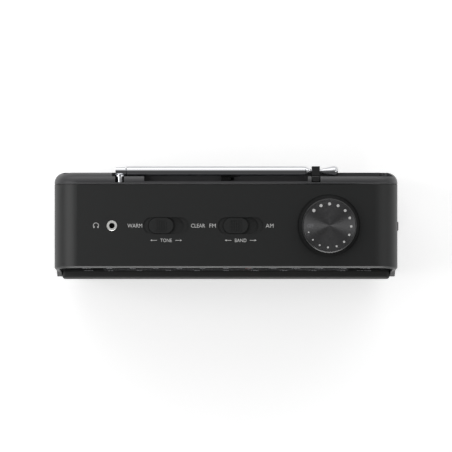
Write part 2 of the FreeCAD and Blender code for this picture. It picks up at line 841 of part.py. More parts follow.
def in_the_bottom_bend(edge):
    """Pick the inner edges at the cover's bottom and sides, next to its back wall."""
    box = edge.BoundBox
    return near(box.YMin, BACK_IN) and near(box.YMax, BACK_IN) and box.ZMin < value(RAIL_FOOT) - 1


def cover_screw_seats(kit, side):
    """Through holes and counterbores for one side's two case screws."""
    centre = (f"{side}{BOSS_X}", BOSS_FOOT)
    rod(kit, "Y", centre, (SEAM, f"{BACK} - 1"), "boss_radius")
    for height in (BOSS_HEAD, BOSS_FOOT):
        centre = (f"{side}{BOSS_X}", height)
        through = (f"{SEAM} - fit_gap", f"{BACK} + fit_gap")
        rod(kit, "Y", centre, through, "screw_radius + run_gap", cut=True)
        sunk = (f"{SEAM} + screw_seat", f"{BACK} + fit_gap")
        rod(kit, "Y", centre, sunk, "screw_head_radius + fit_gap", cut=True)


def hinge_cheek(kit, side):
    """A thick cheek beside the door opening that takes a hinge pin."""
    outer = f"{side}({DOOR_HALF} + hinge_reach + wall)"
    span = sorted(bay(f"{side}({BOX_HALF} + fit_gap)", outer), key=value)
    depth = (f"{HINGE_Y} - hinge_pin - box_wall", BACK_IN)
    block(kit, span, depth, (f"{HINGE_Z} - hinge_pin - wall", f"{HINGE_Z} + hinge_pin + wall"))


def antenna_bed(kit):
    """The open-topped bed of the antenna, its pivot pocket and bearing, and the clip's seat."""
    above = f"{TOP} + fit_gap"
    behind = f"{BACK} + fit_gap"
    bearing = ("antenna_x", ANTENNA_Z)
    rod(kit, "Y", bearing, (f"{PIVOT_FRONT} + 1.5", f"{SEAM} + 1"), "pivot_boss")
    block(kit, (BED_LEFT, f"{HALF} + fit_gap"), (BED_FRONT, behind), (BED_FLOOR, above), cut=True)
    clear = "(barrel_radius + fit_gap)"
    pocket_x = (f"antenna_x - {clear}", f"antenna_x + {clear}")
    pocket_z = (f"{ANTENNA_Z} - {clear}", above)
    block(kit, pocket_x, (f"{SEAM} + 0.8", f"{BED_FRONT} + 0.1"), pocket_z, cut=True)
    rod(kit, "Y", bearing, (BED_FRONT, behind), "fork_sweep", cut=True)
    rod(kit, "Y", bearing, (PIVOT_FRONT, f"{SEAM} + 1"), "pivot_radius + run_gap", cut=True)
    seat_x = (f"{CRADLE_LEFT} - fit_gap", f"{CRADLE_RIGHT} + fit_gap")
    block(kit, seat_x, (f"{SEAM} + 0.8", behind), (f"{NOTCH_FLOOR} - 0.2", above), cut=True)


def latch_notch(kit):
    """The notch above the door with the latch's slot and the gap for the door's keeper."""
    above = f"{TOP} + fit_gap"
    behind = f"{BACK} + fit_gap"
    long = bay(f"-{DOOR_HALF}", DOOR_HALF)
    block(kit, long, (NOTCH_FRONT, behind), (NOTCH_FLOOR, above), cut=True)
    below = (f"{RAIL_FOOT} - fit_gap", f"{NOTCH_FLOOR} + fit_gap")
    stem = bay("-stem_side / 2 - fit_gap", "stem_side / 2 + latch_travel + fit_gap")
    block(kit, stem, (f"{NOTCH_FRONT} + 0.8", f"{BED_FRONT} - 0.5"), below, cut=True)
    keeper = bay("keeper_left - fit_gap", "keeper_right + fit_gap")
    block(kit, keeper, (f"{DOOR_FRONT} - fit_gap", behind), below, cut=True)


def vents(kit, through):
    """A stack of cooling slits above the mains inlet."""
    for step in range(5):
        height = f"inlet_z + 18 + {step} * 5"
        span = (f"{height} - 1", f"{height} + 1")
        block(kit, (f"{INLET_X} - 20", f"{INLET_X} + 12"), through, span, cut=True)


def rubber_feet():
    """Four round feet sunk a little into the underside."""
    body = new_body("rubber_feet")
    for x in ("-1", "1"):
        for y in ("-1", "1"):
            centre = (f"{x} * ({BOSS_X} - boss_radius)", f"{y} * row_to_seam * 0.7")
            rod(body, "Z", centre, ("0", "foot_rise + wall / 2"), "foot_radius - run_gap")


# ---- Front: grille, window, scale and pointer ----


def speaker_grille():
    """A pressed metal pan with rounded edges, punched with holes over the loudspeaker."""
    pan = new_body("grille_pan", kept=False)
    half = f"({OPEN_X} - fit_gap - 0.1)"
    low = f"({OPEN_FOOT} + fit_gap)"
    corner = "open_radius - fit_gap"
    slab(pan, half, (GRILLE, "baffle_front"), (low, GRILLE_TOP), (corner, "grille_sheet"))
    dress(pan, "Fillet", "grille_round", lambda edge: near(edge.BoundBox.YMax, GRILLE))
    trimmed = (f"{LEDGE_Y} + lens_inset + lens_thick", "baffle_front + fit_gap")
    block(pan, (f"-{half}", half), trimmed, (f"{BAFFLE_TOP} + 1", f"{GRILLE_TOP} + 1"), cut=True)
    core = new_body("grille_core", kept=False)
    front = f"({GRILLE} + grille_sheet)"
    depth = (front, "baffle_front + fit_gap")
    core_z = (f"{low} + grille_sheet", f"{GRILLE_TOP} - grille_sheet")
    slab(core, f"({half} - grille_sheet)", depth, core_z, (f"{corner} - grille_sheet", "0"))
    dress(core, "Fillet", "grille_round - grille_sheet", lambda edge: near(edge.BoundBox.YMax, front))
    shell = doc.addObject("Part::Cut", "GrilleShell")
    shell.Base = pan
    shell.Tool = core
    punches = doc.addObject("Part::Feature", "GrillePunches")
    punches.Shape = punch_pattern()
    grille = doc.addObject("Part::Cut", "SpeakerGrille")
    grille.Base = shell
    grille.Tool = punches
    grille.Label = "speaker_grille"
    parts["speaker_grille"] = grille


def punch_pattern():
    """Staggered rows of punches over the loudspeaker's mouth."""
    radius = value("hole_radius")
    pitch = value("hole_pitch")
    row_pitch = pitch * math.sqrt(3) / 2
    front = value(GRILLE) - 1
    field = value(SPEAKER_HOLE) - radius
    steps = int(field / row_pitch)
    punches = []
    for row in range(-steps, steps + 1):
        up = row * row_pitch
        shift = pitch / 2 * (row % 2)
        for column in range(-steps, steps + 1):
            across = column * pitch + shift
            if math.hypot(across, up) <= field:
                place = Vector(value("speaker_x") + across, front, value(SPEAKER_Z) + up)
                depth = 1 + 2 * value("grille_sheet")
                punches.append(Part.makeCylinder(radius, depth, place, Vector(0, 1, 0)))
    return Part.makeCompound(punches)


def dial_lens():
    """The clear window over the dial, leaning with the front."""
    body = new_body("dial_lens")
    low = f"({GRILLE_TOP} + fit_gap)"
    high = f"({OPEN_HEAD} - fit_gap)"
    back = "lens_inset + lens_thick"
    side = [
        (dial_y(low, "lens_inset"), low),
        (dial_y(low, back), low),
        (dial_y(high, back), high),
        (dial_y(high, "lens_inset"), high),
    ]
    prism(body, side, (f"-{PANE_X}", PANE_X))
    dress(body, "Fillet", "open_radius - fit_gap", at_corner(PANE_X, high))


def dial_scale():
    """The printed plate behind the pointer, on the chassis' three posts."""
    body = new_body("dial_scale")
    back = "scale_behind + scale_thick"
    side = [
        (dial_y(SCALE_FOOT, "scale_behind"), SCALE_FOOT),
        (dial_y(SCALE_FOOT, back), SCALE_FOOT),
        (dial_y(SCALE_HEAD, back), SCALE_HEAD),
        (dial_y(SCALE_HEAD, "scale_behind"), SCALE_HEAD),
    ]
    prism(body, side, (f"-{PANE_X}", PANE_X))
    dress(body, "Fillet", "open_radius - scale_thick - fit_gap", at_corner(PANE_X, SCALE_HEAD))


def dial_pointer():
    """The needle, its foot under the scale, the slider on the rail and the cord clip."""
    body = new_body("dial_pointer")
    back = "pointer_behind + pointer_thick"
    side = [
        (dial_y(f"{RAIL_Z} - 1.6", "pointer_behind"), f"{RAIL_Z} - 1.6"),
        (dial_y(f"{RAIL_Z} - 1.6", back), f"{RAIL_Z} - 1.6"),
        (dial_y(POINTER_HEAD, back), POINTER_HEAD),
        (dial_y(POINTER_HEAD, "pointer_behind"), POINTER_HEAD),
    ]
    prism(body, side, ("pointer_at - pointer_width / 2", "pointer_at + pointer_width / 2"))
    foot = dial_y(f"{RAIL_Z} - 1.6", "pointer_behind")
    slide = ("rail_y - rail_radius - 0.8", "rail_y + rail_radius + 0.6")
    arm = ("pointer_at - 2", "pointer_at + 2")
    block(body, arm, (foot, slide[0]), (f"{RAIL_Z} - 1.6", f"{RAIL_Z} + 1"))
    shoe = ("pointer_at - 5", "pointer_at + 5")
    block(body, shoe, slide, (f"{RAIL_Z} - 2", f"{RAIL_Z} + 2"))
    block(body, arm, slide, (f"{RAIL_Z} + 2", f"{UPPER_RUN} + 1.8"))
    tongue = (slide[1], "cord_y + cord_radius + 0.6")
    block(body, arm, tongue, (f"{UPPER_RUN} - 1.8", f"{UPPER_RUN} + 1.8"))
    gap = "(cord_radius + run_gap)"
    clear = ("pointer_at - 3", "pointer_at + 3")
    cord = (f"cord_y - {gap}", "cord_y + cord_radius + 1")
    block(body, clear, cord, (f"{UPPER_RUN} - {gap}", f"{UPPER_RUN} + {gap}"), cut=True)
    through = ("pointer_at - 6", "pointer_at + 6")
    rod(body, "X", ("rail_y", RAIL_Z), through, "rail_radius + run_gap", cut=True)


def pointer_rail():
    """The round rail that the pointer slides along."""
    body = new_body("pointer_rail")
    rod(body, "X", ("rail_y", RAIL_Z), (f"-{CHASSIS_HALF}", CHASSIS_HALF), "rail_radius")


def speaker_baffle():
    """The board behind the grille that holds the loudspeaker."""
    body = new_body("speaker_baffle")
    half = f"({OPEN_X} - fit_gap - 0.1)"
    low = f"({OPEN_FOOT} + fit_gap)"
    flange = (FRAME, f"{FRAME} + baffle_thick")
    slab(body, half, ("baffle_front", flange[1]), (low, BAFFLE_TOP), ("open_radius - fit_gap", "0"))
    flange_z = (f"{FLOOR} + fit_gap", BAFFLE_TOP)
    slab(body, f"({SIDE} - fit_gap)", flange, flange_z, ("corner_radius - wall - fit_gap", "0"))
    inner = f"({half} - baffle_thick)"
    hollow = (BAFFLE_BACK, flange[1])
    hollow_z = (f"{low} + baffle_thick", BAFFLE_TOP)
    slab(body, inner, hollow, hollow_z, ("open_radius - baffle_thick - fit_gap", "0"), cut=True)
    rod(body, "Y", ("speaker_x", SPEAKER_Z), ("baffle_front", BAFFLE_BACK), SPEAKER_HOLE, cut=True)


# ---- Chassis and the dial drive ----


def chassis():
    """The frame behind the dial: posts for the scale, ears for the rail, pulley pins."""
    kit = Kit()
    wide = (f"-{CHASSIS_HALF}", CHASSIS_HALF)
    sheet_y = ("chassis_front", CHASSIS_BACK)
    block(kit, wide, sheet_y, (CHASSIS_FOOT, CHASSIS_HEAD))
    block(kit, (LUG_LEFT, CHASSIS_HALF), sheet_y, (LUG_FOOT, CHASSIS_FOOT))
    left_lug = (f"{LEFT_PULLEY_X} - 7", f"{LEFT_PULLEY_X} + 7")
    block(kit, left_lug, sheet_y, (f"{LEFT_PULLEY_Z} - 7", CHASSIS_FOOT))
    for side in "-+":
        span = sorted((f"{side}{EAR_INNER}", f"{side}{CHASSIS_HALF}"), key=value)
        block(kit, span, ("ear_front", "chassis_front"), (CHASSIS_FOOT, EAR_HEAD))
        block(kit, span, ("ear_front", "ear_front + ear_leg"), (EAR_FOOT, CHASSIS_FOOT))
    rod(kit, "X", ("rail_y", RAIL_Z), wide, "rail_radius + run_gap", cut=True)
    behind = dial_y(f"{POST_HEIGHT} + post_radius", "scale_behind + scale_thick + run_gap")
    for x in ("-scale_post_x", "0", "scale_post_x"):
        rod(kit, "Y", (x, POST_HEIGHT), (behind, "chassis_front"), "post_radius")
    for x, height in ((LEFT_PULLEY_X, LEFT_PULLEY_Z), (RIGHT_PULLEY_X, RIGHT_PULLEY_Z)):
        shoulder = ("cord_y + pulley_width / 2 + run_gap", "chassis_front")
        rod(kit, "Y", (x, height), shoulder, "pulley_pin + 1")
        pin = ("cord_y - pulley_width / 2 - 1", "chassis_front")
        rod(kit, "Y", (x, height), pin, "pulley_pin")
    boss = (f"{CHASSIS_BACK} - 1", f"{CHASSIS_BACK} + 3")
    rod(kit, "Y", (TUNING_X, TUNING_Z), boss, "shaft_radius + 3")
    bore = ("chassis_front", f"{CHASSIS_BACK} + 3")
    rod(kit, "Y", (TUNING_X, TUNING_Z), bore, "shaft_radius + run_gap", cut=True)
    clip_y = (f"{CHASSIS_BACK} - 1", f"{ROD_Y} + rod_radius + clip_sheet")
    clip_z = (f"{ROD_Z} - rod_radius - clip_sheet", f"{ROD_Z} + rod_radius + clip_sheet")
    for x in (f"{ROD_START} + clip_inset", f"{ROD_START} + rod_length - clip_inset"):
        block(kit, (f"{x} - clip_width / 2", f"{x} + clip_width / 2"), clip_y, clip_z)
        hole = (f"{x} - clip_width", f"{x} + clip_width")
        rod(kit, "X", (ROD_Y, ROD_Z), hole, "rod_radius + run_gap", cut=True)
    for centre in CHASSIS_SCREWS + BRACKET_SCREWS:
        rod(kit, "Y", centre, sheet_y, "screw_radius + run_gap", cut=True)
    kit.finish("chassis")


def grooved_wheel(label, axis_x, axis_z, radius, width, bore):
    """A wheel with a cord groove and two flanges; radius is that of the cord's middle."""
    body = new_body(label)
    floor = f"{radius} - cord_radius - fit_gap"
    rim = f"{radius} + flange_rise"
    profile = [
        (f"cord_y - {width} / 2", bore),
        (f"cord_y - {width} / 2", rim),
        ("cord_y - groove_width / 2", rim),
        ("cord_y - groove_width / 2", floor),
        ("cord_y + groove_width / 2", floor),
        ("cord_y + groove_width / 2", rim),
        (f"cord_y + {width} / 2", rim),
        (f"cord_y + {width} / 2", bore),
    ]
    turned(body, "Y", (axis_x, axis_z), profile)
    return body


def cord_drive():
    """The drum on the tuning shaft and the two pulleys that lead the cord."""
    grooved_wheel("cord_drum", TUNING_X, TUNING_Z, "drum_radius", "drum_width", "shaft_radius")
    bore = "pulley_pin + run_gap"
    left = (LEFT_PULLEY_X, LEFT_PULLEY_Z)
    right = (RIGHT_PULLEY_X, RIGHT_PULLEY_Z)
    grooved_wheel("left_pulley", *left, "pulley_radius", "pulley_width", bore)
    grooved_wheel("right_pulley", *right, "pulley_radius", "pulley_width", bore)


def dial_cord():
    """The loop of cord: round the drum, along the top run, back below and over a pulley."""
    left = Vector(value(LEFT_PULLEY_X), 0, value(LEFT_PULLEY_Z))
    right = Vector(value(RIGHT_PULLEY_X), 0, value(RIGHT_PULLEY_Z))
    drum = Vector(value(TUNING_X), 0, value(TUNING_Z))
    small = value("pulley_radius")
    large = value("drum_radius")
    span = drum - right
    slope = math.atan2(span.z, span.x)
    dip = math.asin((small + large) / span.Length) - slope
    side = math.pi / 2 - dip

    def on(centre, radius, angle):
        return centre + Vector(radius * math.cos(angle), 0, radius * math.sin(angle))

    def around(centre, radius, start, sweep):
        points = [on(centre, radius, start + sweep * share) for share in (0, 0.5, 1)]
        return Part.Arc(*points).toShape(), points[0], points[2]

    up = math.pi / 2
    turn_left, left_top, left_foot = around(left, small, up, math.pi)
    turn_right, right_top, right_end = around(right, small, up, side - up)
    turn_drum, drum_start, drum_top = around(drum, large, side - math.pi, up - side + math.pi)
    runs = [
        Part.LineSegment(drum_top, left_top).toShape(),
        turn_left,
        Part.LineSegment(left_foot, right_top).toShape(),
        turn_right,
        Part.LineSegment(right_end, drum_start).toShape(),
        turn_drum,
    ]
    route = Part.Wire(runs)
    ring = Part.Circle(drum_top, Vector(1, 0, 0), value("cord_radius"))
    swept = route.makePipeShell([Part.Wire(ring.toShape())], True, False)
    cord = doc.addObject("Part::Feature", "DialCord")
    cord.Shape = swept
    cord.Placement = Placement(Vector(0, value("cord_y"), 0), Rotation())
    cord.Label = "dial_cord"
    parts["dial_cord"] = cord
    expected = math.pi * value("cord_radius") ** 2 * route.Length
    if abs(swept.Volume - expected) > 0.01 * expected:
        raise ValueError("the dial cord's volume doesn't match its length")


def gear_teeth(name, teeth, centre, phase):
    """A spur gear blank with involute flanks; phase turns it so that a pair meshes."""
    module = value("gear_module")
    pitch = module * teeth / 2
    base = pitch * math.cos(math.radians(20))
    tip = pitch + 0.85 * module
    root = pitch - 1.2 * module
    half = math.pi / (2 * teeth) - 0.06 * module / pitch
    half += math.tan(math.radians(20)) - math.radians(20)
    start = max(base, root)

    def flank(radius, sign, middle):
        roll = math.acos(min(1, base / radius))
        angle = middle + sign * (half - (math.tan(roll) - roll))
        return Vector(radius * math.cos(angle), 0, radius * math.sin(angle))

    edges = []
    for tooth in range(teeth):
        middle = phase + 2 * math.pi * tooth / teeth
        following = middle + 2 * math.pi / teeth
        steps = [start + (tip - start) * step / 4 for step in range(5)]
        rise = Part.BSplineCurve()
        rise.interpolate([flank(radius, -1, middle) for radius in steps])
        fall = Part.BSplineCurve()
        fall.interpolate([flank(radius, 1, middle) for radius in reversed(steps)])
        crown = Vector(tip * math.cos(middle), 0, tip * math.sin(middle))
        edges.append(rise.toShape())
        edges.append(Part.Arc(flank(tip, -1, middle), crown, flank(tip, 1, middle)).toShape())
        edges.append(fall.toShape())
        valley = [flank(start, 1, middle), flank(start, -1, following)]
        lows = [point * (root / start) for point in valley]
        if start > root:
            edges.append(Part.LineSegment(valley[0], lows[0]).toShape())
        between = (middle + following) / 2
        trough = Vector(root * math.cos(between), 0, root * math.sin(between))
        edges.append(Part.Arc(lows[0], trough, lows[1]).toShape())
        if start > root:
            edges.append(Part.LineSegment(lows[1], valley[1]).toShape())
    face = Part.Face(Part.Wire(edges))
    gear = doc.addObject("Part::Feature", name)
    gear.Shape = face.extrude(Vector(0, value("gear_width"), 0))
    gear.Placement = Placement(Vector(value(centre[0]), value("gear_y"), value(centre[1])), Rotation())
    return gear


def on_shaft(label, shaft, gear):
    """Join a gear's teeth and the shaft that they are cut on."""
    joined = doc.addObject("Part::Fuse", fresh("Geared"))
    joined.Base = shaft
    joined.Tool = gear
    joined.Label = label
    parts[label] = joined


def tuning_shaft():
    """The stepped shaft of the tuning wheel with the pinion cut on it."""
    body = new_body("tuning_shaft_bar", kept=False)
    front = "cord_y - drum_width / 2 - 1"
    rod(body, "Y", (TUNING_X, TUNING_Z), (front, f"{BRACKET_BACK} + 0.6"), "shaft_radius")
    collar = (f"{BRACKET_BACK} + fit_gap", f"{BRACKET_BACK} + 1.5")
    rod(body, "Y", (TUNING_X, TUNING_Z), collar, "shaft_radius + 1")
    teeth = gear_teeth("PinionTeeth", SIZES["pinion_teeth"], (TUNING_X, TUNING_Z), 0)
    on_shaft("tuning_shaft", body, teeth)


def tuning_wheel():
    """The ribbed thumbwheel whose edge stands out of the cabinet's right side."""
    body = new_body("tuning_wheel")
    half = "wheel_width / 2"
    face = [
        (f"wheel_y - {half}", "shaft_radius"),
        (f"wheel_y - {half}", "shaft_radius + 3"),
        (f"wheel_y - {half} + 1.6", "shaft_radius + 4.6"),
        (f"wheel_y - {half} + 1.6", "wheel_radius - 4.6"),
        (f"wheel_y - {half}", "wheel_radius - 3"),
        (f"wheel_y - {half}", "wheel_radius - 0.7"),
        (f"wheel_y - {half} + 0.7", "wheel_radius"),
        (f"wheel_y + {half} - 0.7", "wheel_radius"),
        (f"wheel_y + {half}", "wheel_radius - 0.7"),
        (f"wheel_y + {half}", "wheel_radius - 3"),
        (f"wheel_y + {half} - 1.6", "wheel_radius - 4.6"),
        (f"wheel_y + {half} - 1.6", "shaft_radius + 4.6"),
        (f"wheel_y + {half}", "shaft_radius + 3"),
        (f"wheel_y + {half}", "shaft_radius"),
    ]
    turned(body, "Y", (TUNING_X, TUNING_Z), face)
    groove = rod(
        body,
        "Y",
        (f"{TUNING_X} + wheel_radius + 0.35", TUNING_Z),
        (f"wheel_y - {half} - 0.1", f"wheel_y + {half} + 0.1"),
        "0.8",
        cut=True,
    )
    doc.recompute()
    ring = body.newObject("PartDesign::PolarPattern", "Ribs")
    ring.Originals = [groove]
    centre = body.newObject("Sketcher::SketchObject", "WheelCentre")
    centre.AttachmentSupport = [(origin_plane(body, "XZ_Plane"), "")]
    centre.MapMode = "FlatFace"
    bind(centre, ".AttachmentOffset.Base.x", TUNING_X)
    bind(centre, ".AttachmentOffset.Base.y", TUNING_Z)
    ring.Axis = (centre, ["N_Axis"])
    ring.Angle = 360
    ring.Occurrences = 60
    body.Tip = ring


def varicon_gear():
    """The large gear that turns the tuning capacitor, with its shaft."""
    body = new_body("varicon_gear_shaft", kept=False)
    span = ("gear_y - 0.6", f"{BRACKET_BACK} + varicon_depth * 0.75 - 0.5")
    rod(body, "Y", (VARICON_X, TUNING_Z), span, "varicon_shaft")
    hub = ("gear_y - 0.6", "gear_y + gear_width + 0.6")
    rod(body, "Y", (VARICON_X, TUNING_Z), hub, "varicon_shaft + 2")
    half_step = math.pi / SIZES["gear_teeth"]
    teeth = gear_teeth("VariconTeeth", SIZES["gear_teeth"], (VARICON_X, TUNING_Z), half_step)
    on_shaft("varicon_gear", body, teeth)


def tuning_capacitor():
    """The moulded tuning capacitor behind the bracket."""
    body = new_body("tuning_capacitor")
    half = "varicon_side / 2"
    x = (f"{VARICON_X} - {half}", f"{VARICON_X} + {half}")
    depth = (BRACKET_BACK, f"{BRACKET_BACK} + varicon_depth")
    block(body, x, depth, (f"{TUNING_Z} - {half}", f"{TUNING_Z} + {half}"))
    dress(body, "Chamfer", "0.8", lambda edge: along(edge, "Y"))
    bore = (BRACKET_BACK, f"{BRACKET_BACK} + varicon_depth * 0.75")
    rod(body, "Y", (VARICON_X, TUNING_Z), bore, "varicon_shaft + run_gap", cut=True)
    legs = (f"{VARICON_X} - 5", f"{VARICON_X} + 5", VARICON_X)
    for x in legs:
        span = (f"{TUNING_Z} - {half} - 4", f"{TUNING_Z} - {half} + 1")
        block(body, (f"{x} - 0.5", f"{x} + 0.5"), (f"{BRACKET_BACK} + 6", f"{BRACKET_BACK} + 6.4"), span)


def tuner_bracket():
    """The bent plate that carries the shaft's rear bearing and the tuning capacitor."""
    body = new_body("tuner_bracket")
    web = (LUG_LEFT, f"{LUG_LEFT} + bracket_sheet")
    tall = (f"{LUG_FOOT} + 8", f"{TUNING_Z} + 16")
    block(body, web, (CHASSIS_BACK, BRACKET_BACK), tall)
    block(body, (LUG_LEFT, f"{TUNING_X} + 8"), ("bracket_y", BRACKET_BACK), tall)
    foot = (CHASSIS_BACK, f"{CHASSIS_BACK} + bracket_sheet")
    block(body, (LUG_LEFT, f"{LUG_LEFT} + 13"), foot, tall)
    through = ("bracket_y - 0.1", f"{BRACKET_BACK} + 0.1")
    rod(body, "Y", (TUNING_X, TUNING_Z), through, "shaft_radius + run_gap", cut=True)
    rod(body, "Y", (VARICON_X, TUNING_Z), through, "varicon_shaft + 1", cut=True)
    for centre in BRACKET_SCREWS:
        rod(body, "Y", centre, foot, "screw_radius + run_gap", cut=True)


def ferrite_aerial():
    """The ferrite rod aerial and the coil wound on it."""
    rod_body = new_body("ferrite_rod")
    span = (ROD_START, f"{ROD_START} + rod_length")
    rod(rod_body, "X", (ROD_Y, ROD_Z), span, "rod_radius")
    coil = new_body("aerial_coil")
    sleeve = "rod_radius + run_gap"
    start = f"{ROD_START} + 28"
    profile = [
        (start, sleeve),
        (f"{start} + 26", sleeve),
        (f"{start} + 26", f"{sleeve} + 0.6"),
        (f"{start} + 24", f"{sleeve} + 0.6"),
        (f"{start} + 24", f"{sleeve} + 1.4"),
        (f"{start} + 2", f"{sleeve} + 1.4"),
        (f"{start} + 2", f"{sleeve} + 0.6"),
        (start, f"{sleeve} + 0.6"),
    ]
    turned(coil, "X", (ROD_Y, ROD_Z), profile)


# ---- Controls on the top ----


def volume_knob():
    """The round knob: a bevelled cup with a hub, and a thin metal disc set in its top."""
    body = new_body("volume_knob")
    skirt = f"({DISH_FLOOR} + fit_gap)"
    seat = f"({KNOB_TOP} - disc_thick)"
    roof = f"({seat} - knob_wall)"
    bore = "pot_shaft + 0.02"
    shaft_top = f"({roof} - 0.2)"
    profile = [
        (skirt, "knob_radius - knob_wall"),
        (skirt, "knob_radius"),
        (f"{KNOB_TOP} - knob_bevel", "knob_radius"),
        (KNOB_TOP, "knob_radius - knob_bevel"),
        (KNOB_TOP, "disc_radius + run_gap"),
        (seat, "disc_radius + run_gap"),
        (seat, "0"),
        (shaft_top, "0"),
        (shaft_top, bore),
        (f"{BUSH_TOP} + fit_gap", bore),
        (f"{BUSH_TOP} + fit_gap", f"{bore} + knob_wall"),
        (roof, f"{bore} + knob_wall"),
        (roof, "knob_radius - knob_wall"),
    ]
    turned(body, "Z", ("knob_x", "0"), profile)
    disc = new_body("knob_disc")
    rod(disc, "Z", ("knob_x", "0"), (seat, KNOB_TOP), "disc_radius")
    shaft = new_body("volume_shaft")
    rod(shaft, "Z", ("knob_x", "0"), (f"{DECK} - pot_depth + 2", shaft_top), "pot_shaft")


def volume_pot():
    """The potentiometer under the top panel, with its threaded bush."""
    body = new_body("volume_pot")
    case = (f"{DECK} - pot_depth", DECK)
    rod(body, "Z", ("knob_x", "0"), case, "pot_radius")
    tag_y = ("-pot_radius - tag_reach", "-pot_radius / 2")
    tag_z = (f"{DECK} - pot_depth + 1", f"{DECK} - pot_depth + 1.5")
    for x in ("knob_x - tag_pitch", "knob_x", "knob_x + tag_pitch"):
        block(body, (f"{x} - tag_width / 2", f"{x} + tag_width / 2"), tag_y, tag_z)
    rod(body, "Z", ("knob_x", "0"), (DECK, BUSH_TOP), "bush_radius")
    bore = (f"{DECK} - pot_depth + 1.8", BUSH_TOP)
    rod(body, "Z", ("knob_x", "0"), bore, "pot_shaft + run_gap", cut=True)


def pot_nut():
    """The hexagon nut on the volume control's bush."""
    hexagon = doc.addObject("Part::Prism", "NutHexagon")
    hexagon.Polygon = 6
    bind(hexagon, "Circumradius", "bush_radius + nut_rim")
    bore = doc.addObject("Part::Cylinder", "NutBore")
    bind(bore, "Radius", "bush_radius + run_gap")
    for item in (hexagon, bore):
        bind(item, "Height", "nut_thick")
        bind(item, ".Placement.Base.x", "knob_x")
        bind(item, ".Placement.Base.z", DISH_FLOOR)
    nut = doc.addObject("Part::Cut", "PotNut")
    nut.Base = hexagon
    nut.Tool = bore
    nut.Label = "pot_nut"
    parts["pot_nut"] = nut


def headphone_jack():
    """The socket's moulded body on the control board and its bright ring on the top."""
    body = new_body("headphone_jack")
    half = "jack_side / 2"
    x = (f"jack_x - {half}", f"jack_x + {half}")
    block(body, x, (f"-{half}", half), (CONTROL_TOP, DECK))
    bore = (f"{CONTROL_TOP} + 1.5", DECK)
    rod(body, "Z", ("jack_x", "0"), bore, "jack_bore", cut=True)
    ring = new_body("jack_ring")
    profile = [
        (DECK, "jack_bore"),
        (DECK, "jack_neck"),
        (TOP, "jack_neck"),
        (TOP, "jack_ring"),
        (f"{TOP} + jack_ring_rise / 2", "jack_ring"),
        (f"{TOP} + jack_ring_rise", "jack_ring - jack_ring_rise / 2"),
        (f"{TOP} + jack_ring_rise", "jack_bore"),
    ]
    turned(ring, "Z", ("jack_x", "0"), profile)


def slide_switch(name, x):
    """One slide switch: its body on the control board and the cap that slides in the top."""
    body = new_body(f"{name}_switch")
    half = "switch_body / 2"
    roof = f"({CONTROL_TOP} + switch_body_rise)"
    width = ("-switch_body_width / 2", "switch_body_width / 2")
    block(body, (f"{x} - {half}", f"{x} + {half}"), width, (CONTROL_TOP, roof))
    reach = "(stem_side + switch_travel) / 2 + fit_gap"
    deep = "stem_side / 2 + fit_gap"
    floor = f"({roof} - 3.5)"
    cut_x = (f"{x} - ({reach})", f"{x} + {reach}")
    block(body, cut_x, (f"-({deep})", deep), (floor, f"{roof} + 0.1"), cut=True)

    cap = new_body(f"{name}_slider")
    rest = f"({x} - switch_travel / 2)"
    shield_top = f"({DECK} - 0.2)"
    shield_x = (f"{rest} - shield_length / 2", f"{rest} + shield_length / 2")
    shield_y = ("-shield_width / 2", "shield_width / 2")
    block(cap, shield_x, shield_y, (f"{shield_top} - 1", shield_top))
    slot(cap, (rest, "0"), "cap_length", "cap_width", (f"{shield_top} - 0.5", TOP))
    stem = "stem_side / 2"
    span = (f"{floor} + fit_gap", f"{shield_top} - 0.5")
    block(cap, (f"{rest} - {stem}", f"{rest} + {stem}"), (f"-{stem}", stem), span)
    for step in range(-2, 3):
        ridge = f"({rest} + {step} * 1.5)"
        ridge_y = ("-cap_width / 2 + 1.2", "cap_width / 2 - 1.2")
        high = (f"{TOP} - 0.2", f"{TOP} + cap_ridge")
        block(cap, (f"{ridge} - 0.35", f"{ridge} + 0.35"), ridge_y, high)


# ---- Circuit boards ----


def control_board():
    """The board under the top panel that carries the socket and the two switches."""
    body = new_body("control_board")
    plan_x = (CONTROL_LEFT, CONTROL_RIGHT)
    plan_y = ("control_front", "control_back")
    block(body, plan_x, plan_y, (CONTROL_FOOT, CONTROL_TOP))
    for x in (CONTROL_POST_LEFT, CONTROL_POST_RIGHT):
        for y in ("control_post_front", "control_post_back"):
            rod(body, "Z", (x, y), (CONTROL_FOOT, CONTROL_TOP), "screw_radius + run_gap", cut=True)


def main_board():
    """The receiver's board on four posts of the cabinet's floor."""
    body = new_body("main_board")
    span = ("main_rise", "main_rise + board_thick")
    block(body, (f"-{MAIN_HALF}", MAIN_HALF), ("main_front", MAIN_BACK), span)
    for x in (f"-{MAIN_POST_X}", MAIN_POST_X):
        for y in ("main_post_front", "main_post_back"):
            rod(body, "Z", (x, y), span, "screw_radius + run_gap", cut=True)


def board_parts():
    """The screened coils and the electrolytic capacitors that stand on the main board."""
    top = "(main_rise + board_thick)"
    lid = f"({top} + can_height)"
    can_y = ("parts_row - can_side / 2", "parts_row + can_side / 2")
    cans = new_body("coil_cans")
    for step in (-1, 0, 1):
        x = f"(can_x + {step} * can_pitch)"
        block(cans, (f"{x} - can_side / 2", f"{x} + can_side / 2"), can_y, (top, lid))
        rod(cans, "Z", (x, "parts_row"), (f"{lid} - 0.6", lid), "can_hole", cut=True)
    capacitors = new_body("filter_capacitors")
    for x, radius, height in CAPACITORS:
        rod(capacitors, "Z", (x, "parts_row"), (top, f"{top} + {height}"), radius)


# ---- Loudspeaker ----


